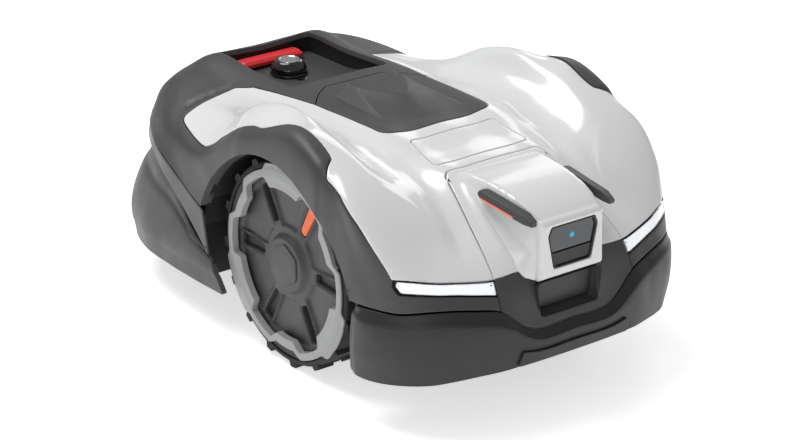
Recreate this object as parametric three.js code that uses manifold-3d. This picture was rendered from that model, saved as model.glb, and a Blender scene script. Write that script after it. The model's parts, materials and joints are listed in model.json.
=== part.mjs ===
// Robotic lawn mower. Millimetres, +Z up, the nose faces -Y, and the origin is on the ground
// under the middle of the machine's bounding box. Left and right are mirror images in X.

import * as THREE from 'three';
import Module from 'manifold-3d';
import { mergeVertices } from 'three/addons/utils/BufferGeometryUtils.js';

const wasm = await Module();
wasm.setup();

// ---------------------------------------------------------------- driving dimensions
const WALL = 3.2;                  // moulded shell thickness
const SEAM = 0.7;                  // half of the gap between two neighbouring panels
const CLEAR = 0.4;                 // gap between two fitted solids

const TYRE_R = 141, TYRE_W = 56, RIM_R = 127;
const WHEEL_X = 190, WHEEL_Y = -76;            // middle of the driven tyre
const ARCH_R = 149;                            // wheel arch radius over the tyre

const CASTER_R = 46, CASTER_W = 32;
const CASTER_X = 118, CASTER_PIVOT_Y = 258, CASTER_TRAIL = 26;

const FLOOR_Z = 66, FLOOR_T = 5;               // chassis floor plate: underside height, thickness
const DISC_R = 105, DISC_Z = 42, DISC_Y = -40; // blade disc at its rest height
const BLADE_LEN = 40;
const KNOB_Y = 221, DECK_Z = 269;
const BUTTON_Y = 270, BUTTON_HALF_X = 52, BUTTON_HALF_Y = 12, BUTTON_RISE = 3.5;

// ---------------------------------------------------------------- geometry helpers
const V = (x, y, z) => new THREE.Vector3(x, y, z);
const range = (n, f) => Array.from({ length: n }, (_, i) => f(i));

function signedVolume(g) {
  const { position } = g.attributes;
  const corner = (k) => new THREE.Vector3().fromBufferAttribute(position, g.index.getX(k));
  let six = 0;
  for (let k = 0; k < g.index.count; k += 3) six += corner(k).dot(corner(k + 1).cross(corner(k + 2)));
  return six;
}

function solid(geometry) {
  let g = geometry.clone();
  g.deleteAttribute('normal');
  g.deleteAttribute('uv');
  g = mergeVertices(g, 1e-3);
  const triVerts = new Uint32Array(g.index.array);
  if (signedVolume(g) < 0) triVerts.reverse();
  const vertProperties = new Float32Array(g.attributes.position.array);
  return new wasm.Manifold(new wasm.Mesh({ numProp: 3, vertProperties, triVerts }));
}

function geometryOf(manifold) {
  const mesh = manifold.getMesh();
  const g = new THREE.BufferGeometry();
  g.setAttribute('position', new THREE.BufferAttribute(new Float32Array(mesh.vertProperties), 3));
  g.setIndex(new THREE.BufferAttribute(new Uint32Array(mesh.triVerts), 1));
  return g;
}

const join = (...solids) => solids.reduce((a, b) => a.add(b));
const cut = (body, ...tools) => tools.reduce((a, b) => a.subtract(b), body);

function box(x0, x1, y0, y1, z0, z1) {
  const g = new THREE.BoxGeometry(x1 - x0, y1 - y0, z1 - z0);
  return solid(g.translate((x0 + x1) / 2, (y0 + y1) / 2, (z0 + z1) / 2));
}

// A solid of revolution about Z from [radius, height] pairs that start and end on the axis or close.
function turned(profile, segments = 24) {
  const points = profile.map(([r, z]) => new THREE.Vector2(r, z));
  return solid(new THREE.LatheGeometry(points, segments).rotateX(Math.PI / 2));
}

const disc = (r, z0, z1, n = 24) => turned([[0, z0], [r, z0], [r, z1], [0, z1]], n);
const ring = (r0, r1, z0, z1, n = 24) =>
  turned([[r0, z0], [r1, z0], [r1, z1], [r0, z1], [r0, z0]], n);

// An [a, b] outline extruded from c0 to c1 along Z, X or Y.
function slab(outline, c0, c1, axis = 'z') {
  const shape = new THREE.Shape(outline.map(([a, b]) => new THREE.Vector2(a, b)));
  const g = new THREE.ExtrudeGeometry(shape, { depth: c1 - c0, bevelEnabled: false });
  g.translate(0, 0, axis === 'y' ? -c1 : c0);
  if (axis === 'x') g.applyMatrix4(new THREE.Matrix4().makeBasis(V(0, 1, 0), V(0, 0, 1), V(1, 0, 0)));
  if (axis === 'y') g.applyMatrix4(new THREE.Matrix4().makeBasis(V(1, 0, 0), V(0, 0, 1), V(0, -1, 0)));
  return solid(g);
}

// An outline with each corner rounded to its own radius: corners are [a, b, radius].
function rounded(corners, steps = 5) {
  const out = [];
  corners.forEach(([a, b, r = 0], i) => {
    const p = new THREE.Vector2(a, b);
    if (!r) return out.push([a, b]);
    const before = corners.at(i - 1), after = corners[(i + 1) % corners.length];
    const u = new THREE.Vector2(before[0], before[1]).sub(p).normalize();
    const w = new THREE.Vector2(after[0], after[1]).sub(p).normalize();
    const half = Math.acos(u.dot(w)) / 2;
    const reach = r / Math.tan(half);
    const start = p.clone().addScaledVector(u, reach), end = p.clone().addScaledVector(w, reach);
    for (let k = 0; k <= steps; k++) {
      const t = k / steps;
      out.push([
        (1 - t) ** 2 * start.x + 2 * t * (1 - t) * p.x + t * t * end.x,
        (1 - t) ** 2 * start.y + 2 * t * (1 - t) * p.y + t * t * end.y,
      ]);
    }
  });
  return out;
}

// A closed loft through sections, each a ring of the same number of points.
function loft(sections) {
  const n = sections[0].length, vertices = sections.flat(), index = [];
  for (let s = 0; s + 1 < sections.length; s++) {
    for (let k = 0; k < n; k++) {
      const a = s * n + k, b = s * n + (k + 1) % n;
      index.push(a, b, b + n, a, b + n, a + n);
    }
  }
  const last = (sections.length - 1) * n;
  for (let k = 1; k + 1 < n; k++) index.push(0, k + 1, k, last, last + k, last + k + 1);
  const g = new THREE.BufferGeometry().setFromPoints(vertices);
  g.setIndex(index);
  return solid(g);
}

const mirrored = (body) => body.mirror([1, 0, 0]);

// ---------------------------------------------------------------- the body's lines
// Each line runs from the rear edge of the upper body, over the top, to the bumper seam at the nose.
// Its points are [x, y, z] at the same fourteen stations; the lines go from the middle to the side.
const LINES = {
  middle: [[0, 350, 236], [0, 340, 262], [0, 317, 281], [0, 285, 293], [0, 187, 300],
    [0, 95, 303], [0, 15, 303], [0, -55, 302], [0, -120, 300], [0, -175, 289],
    [0, -230, 282], [0, -300, 258], [0, -362, 196], [0, -386, 125]],
  inner: [[60, 348, 236], [60, 338, 262], [58, 316, 281], [50, 286, 295], [50, 187, 300],
    [48, 95, 303], [46, 15, 303], [46, -55, 302], [45, -120, 299], [45, -175, 288],
    [45, -230, 281], [48, -300, 252], [52, -363, 195], [62, -385, 126]],
  spine: [[110, 340, 235], [108, 330, 262], [100, 308, 281], [90, 283, 297], [92, 187, 294],
    [90, 97, 299], [88, 15, 301], [85, -55, 303], [82, -118, 302], [77, -175, 289],
    [75, -230, 280], [88, -300, 238], [103, -360, 192], [106, -378, 157]],
  valley: [[129, 332, 234], [127, 322, 261], [118, 303, 279], [112, 276, 290], [112, 187, 284],
    [115, 97, 290], [118, 15, 296], [118, -55, 298], [116, -118, 296], [112, -175, 283],
    [108, -235, 266], [116, -300, 229], [132, -352, 194], [136, -367, 162]],
  flank: [[145, 324, 233], [143, 313, 259], [136, 296, 276], [134, 266, 285], [140, 187, 278],
    [148, 97, 288], [152, 15, 307], [152, -55, 316], [150, -115, 309], [144, -172, 296],
    [134, -237, 275], [125, -297, 233], [150, -346, 196], [158, -359, 165]],
  crest: [[159, 314, 232], [158, 303, 257], [155, 286, 272], [158, 254, 277], [170, 187, 271],
    [180, 97, 286], [181, 15, 326], [181, -50, 340], [180, -115, 330], [178, -170, 315],
    [165, -234, 285], [140, -292, 240], [172, -337, 198], [184, -347, 166]],
  edge: [[170, 305, 231], [173, 288, 252], [174, 268, 263], [180, 234, 267], [197, 187, 257],
    [215, 97, 250], [221, 15, 300], [222, -50, 320], [214, -115, 337], [211, -168, 320],
    [234, -236, 286], [231, -278, 247], [220, -307, 203], [217, -319, 162]],
  shoulder: [[179, 296, 230], [189, 272, 243], [197, 247, 248], [208, 214, 248], [219, 170, 238],
    [230, 90, 240], [233, 15, 287], [234, -50, 308], [232, -115, 329], [233, -172, 314],
    [238, -225, 272], [237, -250, 225], [234, -264, 190], [231, -283, 160]],
  skirt: [[186, 287, 229], [202, 265, 228], [213, 242, 226], [225, 209, 217], [233, 150, 197],
    [237, 87, 171], [238, 15, 152], [238, -55, 147], [238, -120, 147], [238, -180, 149],
    [238, -215, 153], [238, -235, 156], [237, -243, 157], [235, -248, 157]],
};
const REAR = 0, QUARTER = 4, HATCH_FRONT = 8, LAMP_TOP = 12, FRONT = 13;
const SPINE = 2, EDGE = 6, SKIRT = 8;
const LAMP_FOOT = 12.42;           // lower edge of the headlights, between their top and the seam

const smooth = (points) => new THREE.CatmullRomCurve3(points, false, 'centripetal');
const flip = ([x, y, z]) => [-x, y, z];

// Lines on both sides of the middle, numbered -SKIRT to SKIRT, as curves.
function bothSides(lines) {
  const half = Object.values(lines);
  const all = [...half.slice(1).reverse().map((line) => line.map(flip)), ...half];
  return all.map((line) => smooth(line.map((p) => V(...p))));
}

// The surface through the lines: station runs rear to front, across runs -n to n.
function surfaceThrough(lines) {
  const curves = bothSides(lines);
  const stations = Object.values(lines)[0].length - 1, side = (curves.length - 1) / 2;
  const sectionAt = (s) => smooth(curves.map((c) => c.getPoint(Math.min(Math.max(s / stations, 0), 1))));
  const cache = new Map();
  return (station, across) => {
    if (!cache.has(station)) cache.set(station, sectionAt(station));
    return cache.get(station).getPoint(Math.min(Math.max((across + side) / (2 * side), 0), 1));
  };
}

// A wall of even thickness under the cells of a station x across grid that keep() accepts.
function skin(surface, stations, acrosses, keep, wall = WALL) {
  const e = 0.02, [I, J] = [stations.length, acrosses.length], points = [], index = [];
  for (const s of stations) {
    for (const a of acrosses) {
      const forward = surface(s + e, a).sub(surface(s - e, a));
      const sideways = surface(s, a + e).sub(surface(s, a - e));
      const p = surface(s, a);
      points.push(p, p.clone().addScaledVector(forward.cross(sideways).normalize(), -wall));
    }
  }
  const at = (i, j, inner) => 2 * (i * J + j) + inner;
  const kept = (i, j) => i >= 0 && j >= 0 && i < I - 1 && j < J - 1
    && keep((stations[i] + stations[i + 1]) / 2, (acrosses[j] + acrosses[j + 1]) / 2);
  const quad = (a, b, c, d) => index.push(a, b, c, a, c, d);
  const wallOn = (i, j, k, l) => quad(at(i, j, 0), at(i, j, 1), at(k, l, 1), at(k, l, 0));
  for (let i = 0; i < I - 1; i++) {
    for (let j = 0; j < J - 1; j++) {
      if (!kept(i, j)) continue;
      quad(at(i, j, 0), at(i + 1, j, 0), at(i + 1, j + 1, 0), at(i, j + 1, 0));
      quad(at(i, j, 1), at(i, j + 1, 1), at(i + 1, j + 1, 1), at(i + 1, j, 1));
      if (!kept(i - 1, j)) wallOn(i, j + 1, i, j);
      if (!kept(i + 1, j)) wallOn(i + 1, j, i + 1, j + 1);
      if (!kept(i, j - 1)) wallOn(i, j, i + 1, j);
      if (!kept(i, j + 1)) wallOn(i + 1, j + 1, i, j + 1);
    }
  }
  const g = new THREE.BufferGeometry().setFromPoints(points);
  g.setIndex(index);
  return solid(g);
}

const body = surfaceThrough(LINES);
const mirrorAll = (list) => [...list.filter((a) => a).reverse().map((a) => -a), ...list];

// ---------------------------------------------------------------- upper body panels
const GAP_S = SEAM / 70, GAP_A = SEAM / 30;    // the seam in steps of station and across
const LAMP_GAP = SEAM / 45;

const halves = (from, to) => range(2 * (to - from) + 1, (k) => from + k / 2);
const aroundSeam = (values, seam, gap) =>
  [...values.filter((v) => Math.abs(v - seam) > 2 * gap), seam - gap, seam + gap].sort((a, b) => a - b);

const STATIONS = [[QUARTER, GAP_S], [HATCH_FRONT, GAP_S], [LAMP_TOP, GAP_S], [LAMP_FOOT, LAMP_GAP]]
  .reduce((list, [seam, gap]) => aroundSeam(list, seam, gap), halves(REAR, FRONT));
const ACROSS = mirrorAll([SPINE, EDGE]
  .reduce((list, seam) => aroundSeam(list, seam, GAP_A), [0, 1, ...halves(SPINE, SKIRT)]));

const onBack = (s, a) => s < HATCH_FRONT && Math.abs(a) < SPINE;
const onWhite = (s, a) => s > QUARTER + GAP_S / 2 && s < LAMP_TOP - GAP_S / 2
  && Math.abs(a) < EDGE - GAP_A / 2
  && !(s < HATCH_FRONT + GAP_S / 2 && Math.abs(a) < SPINE + GAP_A / 2);
const onHatch = (s, a) => s > 5.1 && s < HATCH_FRONT - GAP_S / 2 && Math.abs(a) < SPINE - GAP_A / 2;
const onDark = (s, a) => s < QUARTER - GAP_S / 2 || Math.abs(a) > EDGE + GAP_A / 2
  || (onBack(s, a) && Math.abs(a) < SPINE - GAP_A / 2 && s < HATCH_FRONT - GAP_S)
  || (s > LAMP_FOOT + LAMP_GAP / 2) || (s > LAMP_TOP + GAP_S / 2 && Math.abs(a) < SPINE - GAP_A / 2);
const onLamp = (s, a) => s > LAMP_TOP + GAP_S / 2 && s < LAMP_FOOT - LAMP_GAP / 2
  && a > SPINE + GAP_A / 2 && a < EDGE - GAP_A / 2;

const PLATE = [[-68, -142, 9], [68, -142, 9], [76, -207, 9], [-76, -207, 9]];
const NOSE = [[-78, -225, 14], [78, -225, 14], [104, -362], [108, -420], [-108, -420], [-104, -362]];
const grow = (corners, by, middleY) => corners.map(([a, b, r = 0]) =>
  [a + by * Math.sign(a), b + by * Math.sign(b - middleY), r]);

// The hatch's rear seam: straight across the middle, with two facets towards each side.
const HATCH_REAR = [[92, 29], [67, 55], [46, 70], [-46, 70], [-67, 55], [-92, 29]];
const hatchPrism = (by) => slab([
  [140, 29 - by], ...HATCH_REAR.map(([x, y]) => [x, y - by]), [-140, 29 - by], [-140, -200], [140, -200],
], 200, 400);

const whiteSkin = () => skin(body, STATIONS, ACROSS, onWhite);
const plateTool = (by) => slab(rounded(grow(PLATE, by, -175)), 200, 360);
const noseTool = (by) => slab(rounded(grow(NOSE, by, -330)), 100, 360);

function whiteShell() {
  return cut(whiteSkin(), plateTool(SEAM / 2), noseTool(SEAM / 2));
}

const labelPlate = () => whiteSkin().intersect(plateTool(-SEAM / 2));

// ---------------------------------------------------------------- nose with its hood
// The hood's cross-sections: [y, top half-width, top z, foot half-width, foot z].
const HOOD = [[-236, 60, 281, 66, 272], [-262, 58, 283, 72, 262], [-300, 56, 283, 78, 240],
  [-340, 53, 276, 80, 210], [-372, 50, 262, 62, 191], [-385, 42, 252, 40, 188]];
const WINDOW = [[-36, 252], [36, 252], [41, 240], [31, 194], [-31, 194], [-41, 240]];

function hoodLoft(wall) {
  return loft(HOOD.map(([y, top, zTop, foot, zFoot]) => [
    V(foot - wall, y, zFoot - 6), V(foot - wall, y, zFoot), V(top - wall, y, zTop - 5 - wall),
    V(top - 6 - wall, y, zTop - wall), V(6 + wall - top, y, zTop - wall),
    V(wall - top, y, zTop - 5 - wall), V(wall - foot, y, zFoot), V(wall - foot, y, zFoot - 6)]));
}

function noseCover() {
  const base = whiteSkin().intersect(noseTool(-SEAM / 2));
  const hood = hoodLoft(0);
  const hollow = hoodLoft(4);
  const frontFace = slab(WINDOW, -410, -340, 'y');
  return cut(join(base, hood), hollow.translate([0, 6, -4]), frontFace);
}

const windowInset = (by) => WINDOW.map(([x, z]) => [x * (1 - by / 36), 220 + (z - 220) * (1 - by / 32)]);
const cameraBezel = () => cut(
  slab(windowInset(CLEAR), -383, -366, 'y'),
  slab(windowInset(5), -383.5, -372, 'y'));
const cameraGlass = () => slab(windowInset(5.5), -378, -374.5, 'y');
const cameraLens = () => disc(9, 0, 1.4, 24).rotate([90, 0, 0]).translate([0, -378.4, 232]);

// The pair of dark fins along the hood's shoulders, each with a light strip under its outer edge.
const FIN = [[-4, 0], [7, -3], [9, -8], [2, -11], [-4, -8]];
const FIN_LIFT = 11.5;
const FIN_FRONT = [57, -377, 262], FIN_REAR = [61, -286, 270];
const along = (section, from, to) => loft([from, to].map(([x, y, z]) =>
  section.map(([a, b]) => V(x + a + 4, y, z + b + FIN_LIFT))));
const fin = () => along(FIN, FIN_REAR, FIN_FRONT);
const finLight = () => along([[5, -10.6], [9, -9], [9, -10.6], [5, -12.2]],
  [61, -292, 269.2], [57, -366, 262.4]);

// ---------------------------------------------------------------- hatch, frame, grip panel
const DOME_BASE = [[-66, 28, 18], [66, 28, 18], [62, -92, 24], [-62, -92, 24]];
const DOME_TOP = [[-50, 20, 18], [50, 20, 18], [34, -62, 14], [-34, -62, 14]];
const atHeight = (outline, z) => rounded(outline).map(([x, y]) => V(x, y, z));

function hatchLid() {
  const lid = skin(body, STATIONS, ACROSS, onHatch).intersect(hatchPrism(SEAM));
  return join(lid, loft([atHeight(DOME_BASE, 299.5), atHeight(DOME_TOP, 316)]));
}

const WELL = [[-72, 284, 10], [72, 284, 10], [80, 96, 16], [-80, 96, 16]];
const ARCH_FLARE = 20;             // how much wider the arch is at axle height than over the tyre
const archCurve = (by, steps = 20) => range(steps + 1, (k) => {
  const t = Math.PI * k / steps, reach = ARCH_R + by + ARCH_FLARE * Math.cos(t) ** 4;
  return [WHEEL_Y + reach * Math.cos(t), TYRE_R + (ARCH_R + by) * Math.sin(t)];
});
const archTool = () => {
  const end = ARCH_R + ARCH_FLARE;
  const outline = [...archCurve(0), [WHEEL_Y - end, 100], [WHEEL_Y + end, 100]];
  return join(slab(outline, 168, 260, 'x'), slab(outline, -260, -168, 'x'));
};
const GRIP = [[-106, -330], [106, -330], [107, -420], [-107, -420]];
const gripTool = (by) => slab(grow(GRIP, by, -380), 100, 215);

function darkFrame() {
  return cut(
    skin(body, STATIONS, ACROSS, onDark),
    slab(rounded(WELL), 240, 320), hatchPrism(-SEAM).intersect(box(-100, 100, -130, 90, 250, 330)),
    archTool(), gripTool(SEAM));
}

const TRAY_BACK = -366;            // back wall of the recess that docks on the charging station
const TRAY_TOP = 177, TRAY_FOOT = 134, TRAY_HALF = 49, TRAY_WALL = 3;
const trayOutline = (by) => rounded([[-TRAY_HALF - by, TRAY_TOP + by, 6], [TRAY_HALF + by, TRAY_TOP + by, 6],
  [TRAY_HALF - 3 + by, TRAY_FOOT - by, 6], [3 - TRAY_HALF - by, TRAY_FOOT - by, 6]]);

function gripPanel() {
  const strip = (s, a) => s > LAMP_TOP + GAP_S / 2 && Math.abs(a) < SPINE + 0.2;
  const base = skin(body, STATIONS, ACROSS, strip, 5).intersect(gripTool(0));
  const pocket = slab(trayOutline(0), -420, TRAY_BACK + 6, 'y');
  const tray = cut(
    slab(trayOutline(TRAY_WALL), -385, TRAY_BACK + 4, 'y'),
    slab(trayOutline(0), -386, TRAY_BACK, 'y'));
  return cut(join(cut(base, pocket), tray), hoodLoft(-SEAM));
}

function inset(surface, depth) {
  const e = 0.02;
  return (s, a) => {
    const forward = surface(s + e, a).sub(surface(s - e, a));
    const sideways = surface(s, a + e).sub(surface(s, a - e));
    return surface(s, a).addScaledVector(forward.cross(sideways).normalize(), -depth);
  };
}

const lampLens = () => cut(skin(body, STATIONS, ACROSS, onLamp, 2), gripTool(SEAM));
const lampHousing = () => cut(skin(inset(body, 2 + CLEAR), STATIONS, ACROSS, onLamp, 6), gripTool(SEAM));

// ---------------------------------------------------------------- bumper, tail and rear band
// Sections from the middle of the front round to the wheel, each from the seam down to the foot.
const BUMPER = {
  middle: [[0, -386, 122], [0, -397, 114], [0, -396, 100], [0, -391, 81]],
  inner: [[62, -385, 123], [62, -396, 115], [62, -395, 100], [62, -390, 81]],
  corner: [[106, -378, 154], [109, -388, 144], [108, -390, 110], [103, -386, 79]],
  turn: [[136, -367, 159], [141, -375, 149], [142, -377, 110], [140, -372, 75]],
  bend: [[158, -359, 162], [164, -365, 152], [165, -367, 110], [162, -362, 72]],
  flank: [[184, -347, 163], [192, -350, 153], [194, -351, 108], [189, -346, 68]],
  wing: [[217, -319, 159], [223, -320, 149], [225, -319, 107], [219, -314, 65]],
  side: [[231, -283, 157], [239, -283, 147], [240, -280, 105], [234, -276, 62]],
  end: [[235, -248, 154], [240, -246, 146], [241, -241, 104], [236, -235, 61]],
};
const BUMPER_END = 8;
const bumperSurface = surfaceThrough(BUMPER);
const bumperStations = [0, 0.5, 1, 1.5, 2, 3];
const bumperAcross = mirrorAll(halves(0, BUMPER_END));
const bumper = () => skin(bumperSurface, bumperStations, bumperAcross, () => true, 4);

const skidStrip = () => skin(inset(bumperSurface, -3.6), [2, 2.5, 2.92],
  range(13, (k) => -1.5 + k / 4), () => true, 3.2);

// Tail skirt: from the middle of the rear round to the wheel, each section from foot to top.
const TAIL = {
  middle: [[0, 397, 50], [0, 401, 98], [0, 385, 150], [0, 352, 208]],
  inner: [[70, 392, 50], [72, 396, 98], [72, 380, 150], [68, 347, 207]],
  bend: [[138, 366, 51], [142, 370, 98], [140, 354, 148], [128, 322, 205]],
  corner: [[196, 318, 52], [200, 322, 98], [197, 305, 145], [174, 286, 200]],
  wing: [[224, 252, 54], [229, 255, 99], [224, 240, 140], [206, 232, 192]],
  side: [[232, 180, 56], [237, 182, 101], [233, 170, 134], [224, 168, 172]],
  front: [[235, 110, 58], [239, 114, 101], [237, 112, 114], [231, 114, 126]],
  end: [[235, 40, 60], [238, 60, 97], [237, 62, 101], [233, 64, 104]],
};
const TAIL_END = 7;
const tailSkirt = () => skin(surfaceThrough(TAIL), [0, 0.5, 1, 1.5, 2, 3],
  mirrorAll(halves(0, TAIL_END)), () => true, 4);

// Light band under the frame's seam, which narrows to a point behind the wheel.
const BAND = {
  middle: [[0, 358, 221], [0, 352, 233]],
  inner: [[70, 354, 220], [66, 349, 233]],
  bend: [[124, 334, 218], [116, 338, 232]],
  corner: [[184, 292, 214], [184, 288, 226]],
  wing: [[213, 246, 208], [211, 244, 223]],
  side: [[229, 195, 191], [228, 196, 210]],
  front: [[236, 128, 155], [234, 140, 191]],
  end: [[237, 72, 109], [237, 84, 168]],
};
const BAND_END = 7;
const rearBand = () => skin(surfaceThrough(BAND), [0, 0.5, 1],
  mirrorAll(halves(0, BAND_END)), () => true, 3);

// ---------------------------------------------------------------- well, stop button and knob
// The deck ramps down from the hatch to the flat shelf that carries the button and the knob.
function wellDeck() {
  const outer = [[88, 292], [130, 286], [164, 273], [186, DECK_Z], [286, DECK_Z], [286, 247], [88, 247]];
  const hollow = [[92, 287], [128, 281], [162, 268], [185, DECK_Z - 4],
    [282, DECK_Z - 4], [282, 237], [92, 237]];
  const ramp = cut(slab(outer, -78, 78, 'x'), slab(hollow, -74, 74, 'x'));
  return join(ramp, box(-97, 97, 150, 296, DECK_Z - 5, DECK_Z - 0.5));
}

// The stop bar at a height, drawn in from its full outline.
const buttonOutline = (z, by) => atHeight([[-1, -1], [1, -1], [1, 1], [-1, 1]].map(([i, j]) =>
  [i * (BUTTON_HALF_X - by), BUTTON_Y + j * (BUTTON_HALF_Y - by), 5]), z);
const stopButton = () => loft([buttonOutline(DECK_Z + BUTTON_RISE, 0), buttonOutline(DECK_Z + 9, 0),
  buttonOutline(DECK_Z + 13, 3)]);

const KNOB_FOOT = DECK_Z + CLEAR, KNOB_SIDES = 28;
const atKnob = (part) => part.translate([0, KNOB_Y, 0]);
const knobCollar = () => atKnob(ring(13, 26.5, KNOB_FOOT, KNOB_FOOT + 4, KNOB_SIDES));
const knob = () => atKnob(turned([[0, KNOB_FOOT + 4.5], [25, KNOB_FOOT + 4.5], [24, KNOB_FOOT + 12],
  [19, KNOB_FOOT + 19], [15.4, KNOB_FOOT + 20], [15.4, KNOB_FOOT + 15], [0, KNOB_FOOT + 15]], KNOB_SIDES));
const knobRing = () => atKnob(ring(12, 15, KNOB_FOOT + 15.4, KNOB_FOOT + 20.6, KNOB_SIDES));
const knobCap = () => atKnob(disc(11.6, KNOB_FOOT + 17.2, KNOB_FOOT + 20.2, KNOB_SIDES));

// ---------------------------------------------------------------- wheels
// Built with the wheel's axis along Z and its outer face up, then turned to face +X.
const WHEEL_FRAME = new THREE.Matrix4().makeBasis(V(0, 1, 0), V(0, 0, 1), V(1, 0, 0))
  .setPosition(WHEEL_X, WHEEL_Y, TYRE_R);
const toWheel = (part) => part.transform(WHEEL_FRAME.elements);
const HALF_W = TYRE_W / 2, LUGS = 16, WHEEL_SIDES = 32;

const SIDEWALL = HALF_W - 2;       // outer face of the tyre, behind the trim's pads

function tyre() {
  const carcass = turned([[RIM_R + CLEAR, -HALF_W], [RIM_R + 5, -HALF_W], [134, -HALF_W + 6],
    [134, SIDEWALL - 6], [RIM_R + 5, SIDEWALL], [RIM_R + CLEAR, SIDEWALL],
    [RIM_R + CLEAR, -HALF_W]], WHEEL_SIDES);
  const block = [[131, -9], [TYRE_R - 0.2, -6], [TYRE_R - 0.2, 6], [131, 9]];
  const lug = (z0, z1, turn) => slab(block, z0, z1).rotate([0, 0, turn]);
  return toWheel(join(carcass,
    ...range(LUGS, (k) => lug(1, SIDEWALL, (k + 0.25) * 360 / LUGS)),
    ...range(LUGS, (k) => lug(2 - HALF_W, -1, (k + 0.75) * 360 / LUGS))));
}

function wheelRim() {
  const barrel = ring(RIM_R - 5, RIM_R, -HALF_W + 2, HALF_W - 4, WHEEL_SIDES);
  const flange = ring(117, RIM_R - 1, HALF_W - 7, HALF_W - 4, WHEEL_SIDES);
  const web = disc(RIM_R - 3, 6, 11, WHEEL_SIDES);
  const hub = turned([[0, -30], [20, -30], [24, -4], [40, 8], [0, 8]], 24);
  const axle = disc(8, -86, -29, 24);
  return toWheel(join(barrel, flange, web, hub, axle));
}

// The trim ring: a band that dips inwards at three places, and widens to a pad between the dips.
const DIPS = [30, 150, 270], DIP_HALF = 10, DIP_RAMP = 6;
const PADS = [90, 210, 330], PAD_HALF = 17, PAD_RAMP = 3;
function nearness(angle, places, half, slope) {
  const away = Math.min(...places.map((place) => Math.abs(((angle - place + 540) % 360) - 180)));
  return Math.min(Math.max((half + slope - away) / slope, 0), 1);
}
function trimRadii(angle) {
  const dip = nearness(angle, DIPS, DIP_HALF, DIP_RAMP), pad = nearness(angle, PADS, PAD_HALF, PAD_RAMP);
  return { inner: 116.5 - 14.5 * Math.max(dip, pad), outer: 126 - 11 * dip + 8 * pad };
}
const TRIM_ANGLES = [-35, -20, -17, -8, 0, 8, 17, 20, 35, 44, 50, 60, 70, 76];
const trimOutline = (edge, by) => range(3, (k) => TRIM_ANGLES.map((angle) => {
  const turn = 90 + 120 * k + angle, r = trimRadii(turn)[edge] + by, t = turn * Math.PI / 180;
  return [r * Math.cos(t), r * Math.sin(t)];
})).flat();

const wheelTrim = () => toWheel(cut(
  slab(trimOutline('outer', 0), HALF_W - 3.4, HALF_W + 1),
  slab(trimOutline('inner', 0), 0, 40),
  ring(RIM_R - CLEAR, 145, 0, SIDEWALL + CLEAR, WHEEL_SIDES)));

// The hub cover lies inside the trim ring: a slotted plate with a boss that carries the cap.
const COVER_R = 121, COVER_Z = HALF_W - 9.5, SPOKES = 6, INSERT_SLOT = 2;
const slotTool = (by) => slab([
  [57 - by, -6.5 - by], [108 + by, -9 - by], [108 + by, 9 + by], [57 - by, 6.5 + by],
], COVER_Z - 4.5, COVER_Z + 6);

function hubCover() {
  const plate = disc(COVER_R, COVER_Z - 7, COVER_Z, WHEEL_SIDES);
  const boss = turned([[0, COVER_Z - 0.1], [41, COVER_Z - 0.1], [35, COVER_Z + 7], [0, COVER_Z + 7]], 36);
  const slots = range(SPOKES, (k) => slotTool(0).rotate([0, 0, k * 360 / SPOKES]));
  return toWheel(cut(join(plate, boss), ...slots));
}

const hubCap = () => toWheel(slab(rounded(range(6, (k) => {
  const t = (k + 0.5) * Math.PI / 3;
  return [30 * Math.cos(t), 30 * Math.sin(t), 9];
})), COVER_Z + 7.4, COVER_Z + 9.6));

const slotInsert = () => toWheel(slotTool(-CLEAR).intersect(disc(120, COVER_Z - 4, COVER_Z - 1))
  .rotate([0, 0, INSERT_SLOT * 360 / SPOKES]));

// ---------------------------------------------------------------- rear casters
const CASTER_Y = CASTER_PIVOT_Y + CASTER_TRAIL;
const forkOutline = [[CASTER_PIVOT_Y - 14, 122], [CASTER_PIVOT_Y + 16, 122], [CASTER_Y + 8, 58],
  [CASTER_Y + 7, CASTER_R - 8], [CASTER_Y - 7, CASTER_R - 8], [CASTER_Y - 9, 58]];
const forkSide = (x) => slab(forkOutline, CASTER_X + x, CASTER_X + x + 5, 'x');
function casterFork() {
  const crown = box(CASTER_X - 26, CASTER_X + 26, CASTER_PIVOT_Y - 14, CASTER_PIVOT_Y + 16, 118, 126);
  const stem = disc(8, 125, 168, 24).translate([CASTER_X, CASTER_PIVOT_Y, 0]);
  const pin = disc(4, -24, 24, 16).rotate([0, 90, 0]).translate([CASTER_X, CASTER_Y, CASTER_R]);
  return join(crown, stem, forkSide(-26), forkSide(21), pin);
}

function casterWheel() {
  const half = CASTER_W / 2;
  const profile = [[4.4, -half], [18, -half], [22, -8], [36, -half], [43, -half + 3], [CASTER_R, -6],
    [CASTER_R, 6], [43, half - 3], [36, half], [22, 8], [18, half], [4.4, half], [4.4, -half]];
  return turned(profile, 24).rotate([0, 90, 0]).translate([CASTER_X, CASTER_Y, CASTER_R]);
}

// ---------------------------------------------------------------- chassis and what it carries
const FLOOR = [[-185, -335, 40], [185, -335, 40], [190, -240, 8], [148, -232, 6], [148, 76, 6],
  [190, 90, 20], [176, 300, 60], [-176, 300, 60], [-190, 90, 20],
  [-148, 76, 6], [-148, -232, 6], [-190, -240, 8]];
const TUB_TOP = 118, HOUSING_X = 144;
const shrink = (corners, by) => corners.map(([x, y, r]) =>
  [x - by * Math.sign(x), y - by * Math.sign(y) * (Math.abs(y) > 220 ? 1 : -1) * (y === -232 ? -1 : 1), r]);

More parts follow.
